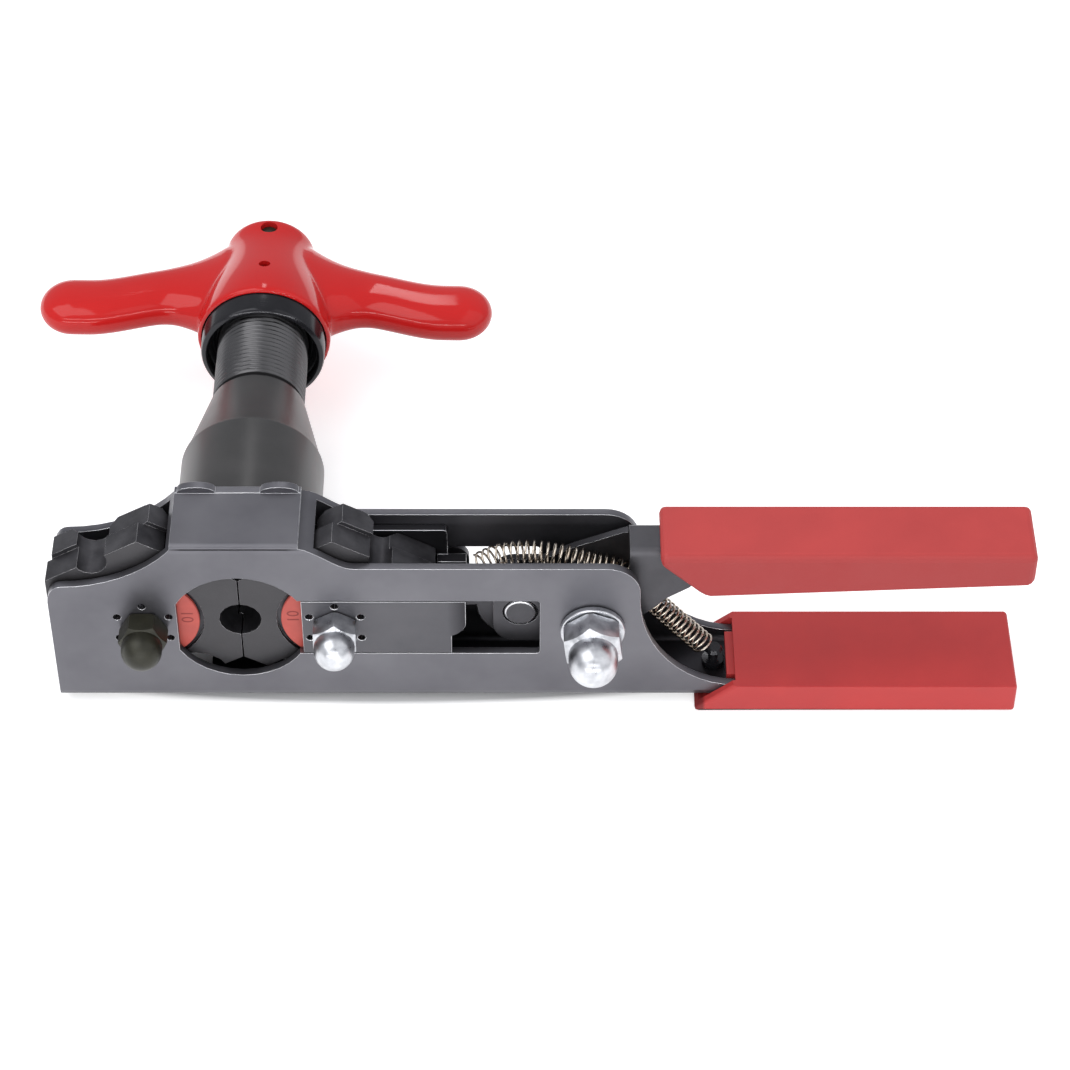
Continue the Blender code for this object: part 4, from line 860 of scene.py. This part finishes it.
# %% [markdown]
# Return spring
# One long tension spring of round wire pulls the jaws open. It lies over the toggle's pivot and ends on
# a post in the frame. The coil could be a mesh swept along a line, but a curve with a round bevel does
# the same with few points. Each turn gets many of them, so the wire stays round.

# %% Route of the spring
SPRING_ROUTE = (
    (0.1103, -0.0166), (0.0990, -0.0030), (0.0922, 0.0062), (0.0886, 0.0096), (0.0834, 0.0112),
    (0.0755, 0.0140), (0.0683, 0.0152), (0.0620, 0.0143), (0.0587, 0.0127), (0.0561, 0.0108),
)


def smooth_route(pairs, per_leg=12):
    """Points on a Catmull-Rom curve through (x, z) pairs in the middle plane."""
    knots = [Vector((x, 0.0, z)) for x, z in pairs]
    knots = [2 * knots[0] - knots[1], *knots, 2 * knots[-1] - knots[-2]]
    route = []
    for a, b, c, d in zip(knots, knots[1:], knots[2:], knots[3:]):
        for step in range(per_leg):
            t = step / per_leg
            bend = (2 * a - 5 * b + 4 * c - d) * t ** 2 + (3 * b - a - 3 * c + d) * t ** 3
            route.append(0.5 * (2 * b + (c - a) * t + bend))
    return [*route, knots[-2]]


spring_line = smooth_route(SPRING_ROUTE)
print("points on the spring's line:", len(spring_line))

# %% Spring
COIL_RADIUS = 0.00262
COIL_PITCH = 0.00158
WIRE = 0.00054
POINTS_PER_TURN = 22
SIDEWAYS = Vector((0.0, 1.0, 0.0))


def coil_points(route, radius, pitch, per_turn):
    reach = [0.0]
    for a, b in zip(route, route[1:]):
        reach.append(reach[-1] + (b - a).length)
    count = int(reach[-1] / pitch * per_turn)
    points, leg = [], 0
    for index in range(count + 1):
        distance = reach[-1] * index / count
        while leg < len(route) - 2 and distance > reach[leg + 1]:
            leg += 1
        along = (route[leg + 1] - route[leg]).normalized()
        upwards = along.cross(SIDEWAYS).normalized()
        angle = 2 * math.pi * index / per_turn
        middle = route[leg] + along * (distance - reach[leg])
        points.append(middle + radius * (math.cos(angle) * upwards + math.sin(angle) * SIDEWAYS))
    return points


def wire(name, points, thickness):
    data = bpy.data.curves.new(name, "CURVE")
    data.dimensions = "3D"
    data.bevel_depth = thickness / 2
    data.bevel_resolution = 3
    data.use_fill_caps = True
    spline = data.splines.new("POLY")
    spline.points.add(len(points) - 1)
    for point, at in zip(spline.points, points):
        point.co = (*at, 1.0)
    spline.use_smooth = True
    return added(name, data)


coil = coil_points(spring_line, COIL_RADIUS, COIL_PITCH, POINTS_PER_TURN)
spring = wire("return_spring_fine", coil, WIRE)
set_finish(spring, spring_steel)
place(spring, "return_spring")
print("spring points:", len(spring.data.splines[0].points))

# %% [markdown]
# Size dials
# Each dial is a thin ring let into its wheel, and it names the sizes. The solid's ring could be
# bevelled, but the real one is a little smaller and stands in a dark groove. So it is turned anew: its
# rim is rounded, and a thin flange covers the wheel's boss.

# %% Dials
DIAL_OUTER = 0.0129
DIAL_INNER = 0.0076
DIAL_BOSS = 0.0089
DIAL_FLANGE = 0.00018
DIAL_ROUNDING = 0.0002


def dial_ring(node_name):
    low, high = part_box(node_name)
    front, back = low[1], high[1]
    ring = turned(node_name + "_fine", [
        (DIAL_INNER, front), (DIAL_OUTER - DIAL_ROUNDING, front), (DIAL_OUTER, front + DIAL_ROUNDING),
        (DIAL_OUTER, back), (DIAL_BOSS, back), (DIAL_BOSS, front + DIAL_FLANGE),
        (DIAL_INNER, front + DIAL_FLANGE), (DIAL_INNER, front),
    ], ((low[0] + high[0]) / 2, 0.0))
    set_finish(ring, dial_red)
    return place(smooth(ring), node_name)


dial_ring("fixed_size_dial")
dial_ring("moving_size_dial")
print("dials:", DIAL_OUTER * 2000, "mm across")

# %% [markdown]
# Size digits
# Each dial names the size of the bore that it stands at. The digits are printed, so they are a film on
# the dial's face: text that becomes a flat mesh. They stand sideways, because each number reads
# outwards from the wheel's axle.

# %% Digits
DIGIT_SIZE = 0.0041
INK_LIFT = 0.00003


def digits(text, dial, spot, turn):
    data = bpy.data.curves.new("digits", "FONT")
    data.body = text
    data.size = DIGIT_SIZE
    data.align_x = "CENTER"
    data.align_y = "CENTER"
    flat = added("digits", data)
    bpy.context.view_layer.update()
    mesh = bpy.data.meshes.new_from_object(flat.evaluated_get(bpy.context.evaluated_depsgraph_get()))
    bpy.data.objects.remove(flat, do_unlink=True)
    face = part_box(dial)[0][1] - INK_LIFT
    upright = ALONG_Y @ Matrix.Rotation(math.radians(turn), 4, "Z")
    mesh.transform(Matrix.Translation((spot[0], face, spot[1])) @ upright)
    obj = added(dial + "_digits", mesh)
    set_finish(obj, digit_ink)
    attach(obj, body_of_node[dial])
    return obj


digits("10", "fixed_size_dial", (-0.0126, 0.0011), -90)
digits("10", "moving_size_dial", (0.0126, 0.0011), 90)
print("digits", DIGIT_SIZE * 1000, "mm high")

# %% [markdown]
# Floor
# The tool lies on a white sheet. A brighter lamp could make the sheet white, but it would bleach the
# tool as well. So the floor gives a little light of its own to the camera and in reflections. It gives
# none in an oval under the frame, a painted shadow that keeps the openings there dark, and it darkens
# where the tool shades it.

# %% Floor
FLOOR_HALF = 6
FLOOR_GLOW = 0.52
# The painted shadow is an oval that reaches 83 mm along X and 10.5 mm along Y to either side of X 33 mm.
SHADOW_OVAL_PLACE = (-0.4, 0.0, 0.0)
SHADOW_OVAL_SCALE = (12.0, 95.0, 1.0)
SHADOW_OVAL_BORDER = (0.85, 1.0)
floor = from_lists(
    "floor",
    [(-FLOOR_HALF, -FLOOR_HALF, 0), (FLOOR_HALF, -FLOOR_HALF, 0), (FLOOR_HALF, FLOOR_HALF, 0),
     (-FLOOR_HALF, FLOOR_HALF, 0)],
    [(0, 1, 2, 3)],
)
floor.location = (0.0, 0.0, cad_box[0][2] - 0.0002)


def floor_finish():
    material = bpy.data.materials.new("floor_white")
    material.use_nodes = True
    tree = material.node_tree
    shader = tree.nodes["Principled BSDF"]
    shader.inputs["Roughness"].default_value = 0.9
    shader.inputs["Specular IOR Level"].default_value = 0.0
    shader.inputs["Emission Color"].default_value = (1.0, 1.0, 1.0, 1.0)
    tone = effect(tree, clouds, 0.6)
    feed(tree, mixed(tree, tone, (0.86, 0.86, 0.86), (0.88, 0.88, 0.88)), shader.inputs["Base Color"])
    path = node(tree, "ShaderNodeLightPath")
    seen = path.outputs["Is Camera Ray"]
    for ray in ("Is Glossy Ray", "Is Transmission Ray"):
        total = node(tree, "ShaderNodeMath", operation="ADD", use_clamp=True)
        feed(tree, seen, total.inputs[0])
        feed(tree, path.outputs[ray], total.inputs[1])
        seen = total.outputs[0]
    # Painted shadow: the floor's glow fades out inside an oval under the frame.
    place = node(tree, "ShaderNodeTexCoord")
    squeezed = node(tree, "ShaderNodeMapping")
    squeezed.inputs["Location"].default_value = SHADOW_OVAL_PLACE
    squeezed.inputs["Scale"].default_value = SHADOW_OVAL_SCALE
    near = node(tree, "ShaderNodeVectorMath", operation="DISTANCE")
    feed(tree, place.outputs["Object"], squeezed.inputs["Vector"])
    feed(tree, squeezed.outputs["Vector"], near.inputs[0])
    strength = node(tree, "ShaderNodeMath", operation="MULTIPLY")
    feed(tree, seen, strength.inputs[0])
    feed(tree, ranged(tree, near.outputs["Value"], 0.0, FLOOR_GLOW, *SHADOW_OVAL_BORDER), strength.inputs[1])
    feed(tree, strength.outputs[0], shader.inputs["Emission Strength"])
    return material


set_finish(floor, floor_finish())
print("floor at", round(floor.location.z, 4))

# %% [markdown]
# World and lamps
# The photograph has soft light from all sides. A pale world gives most of it here, and two large lamps
# give the forms a light and a shaded side. One large lamp alone would leave the metal dull, so three
# narrow strips draw the thin highlights on edges, domes and enamel.

# %% World and lamps
WORLD_STRENGTH = 0.60
LAMPS = (
    ("key", (1.2, 1.0), 8.0, (-0.55, -0.15, 1.15)),
    ("fill", (1.5, 1.5), 3.6, (0.9, -0.2, 0.9)),
    ("back_strip", (0.12, 0.5), 0.9, (0.0, 1.0, 0.95)),
    ("strip", (1.3, 0.055), 2.6, (0.0, -0.92, 0.66)),
    ("low_strip", (1.3, 0.05), 3.0, (0.0, -0.98, 0.20)),
)
tool_middle = Vector((0.06, 0.03, 0.0))

world = bpy.data.worlds.new("studio")
world.use_nodes = True
world.node_tree.nodes["Background"].inputs["Color"].default_value = (0.93, 0.95, 1.0, 1.0)
world.node_tree.nodes["Background"].inputs["Strength"].default_value = WORLD_STRENGTH
bpy.context.scene.world = world


def lamp(name, size, power, spot):
    data = bpy.data.lights.new(name, "AREA")
    data.shape = "RECTANGLE"
    data.size, data.size_y = size
    data.energy = power
    obj = added(name, data)
    obj.location = spot
    obj.rotation_euler = (tool_middle - Vector(spot)).to_track_quat("-Z", "Y").to_euler()


for settings in LAMPS:
    lamp(*settings)
print("lamps:", len(LAMPS))

# %% [markdown]
# Sizes and the end
# The solids' box is printed at the end. The dressed tool must stay within the solids' box.

# %% Finish
print("box of the solids:", [[round(value, 4) for value in corner] for corner in cad_box])
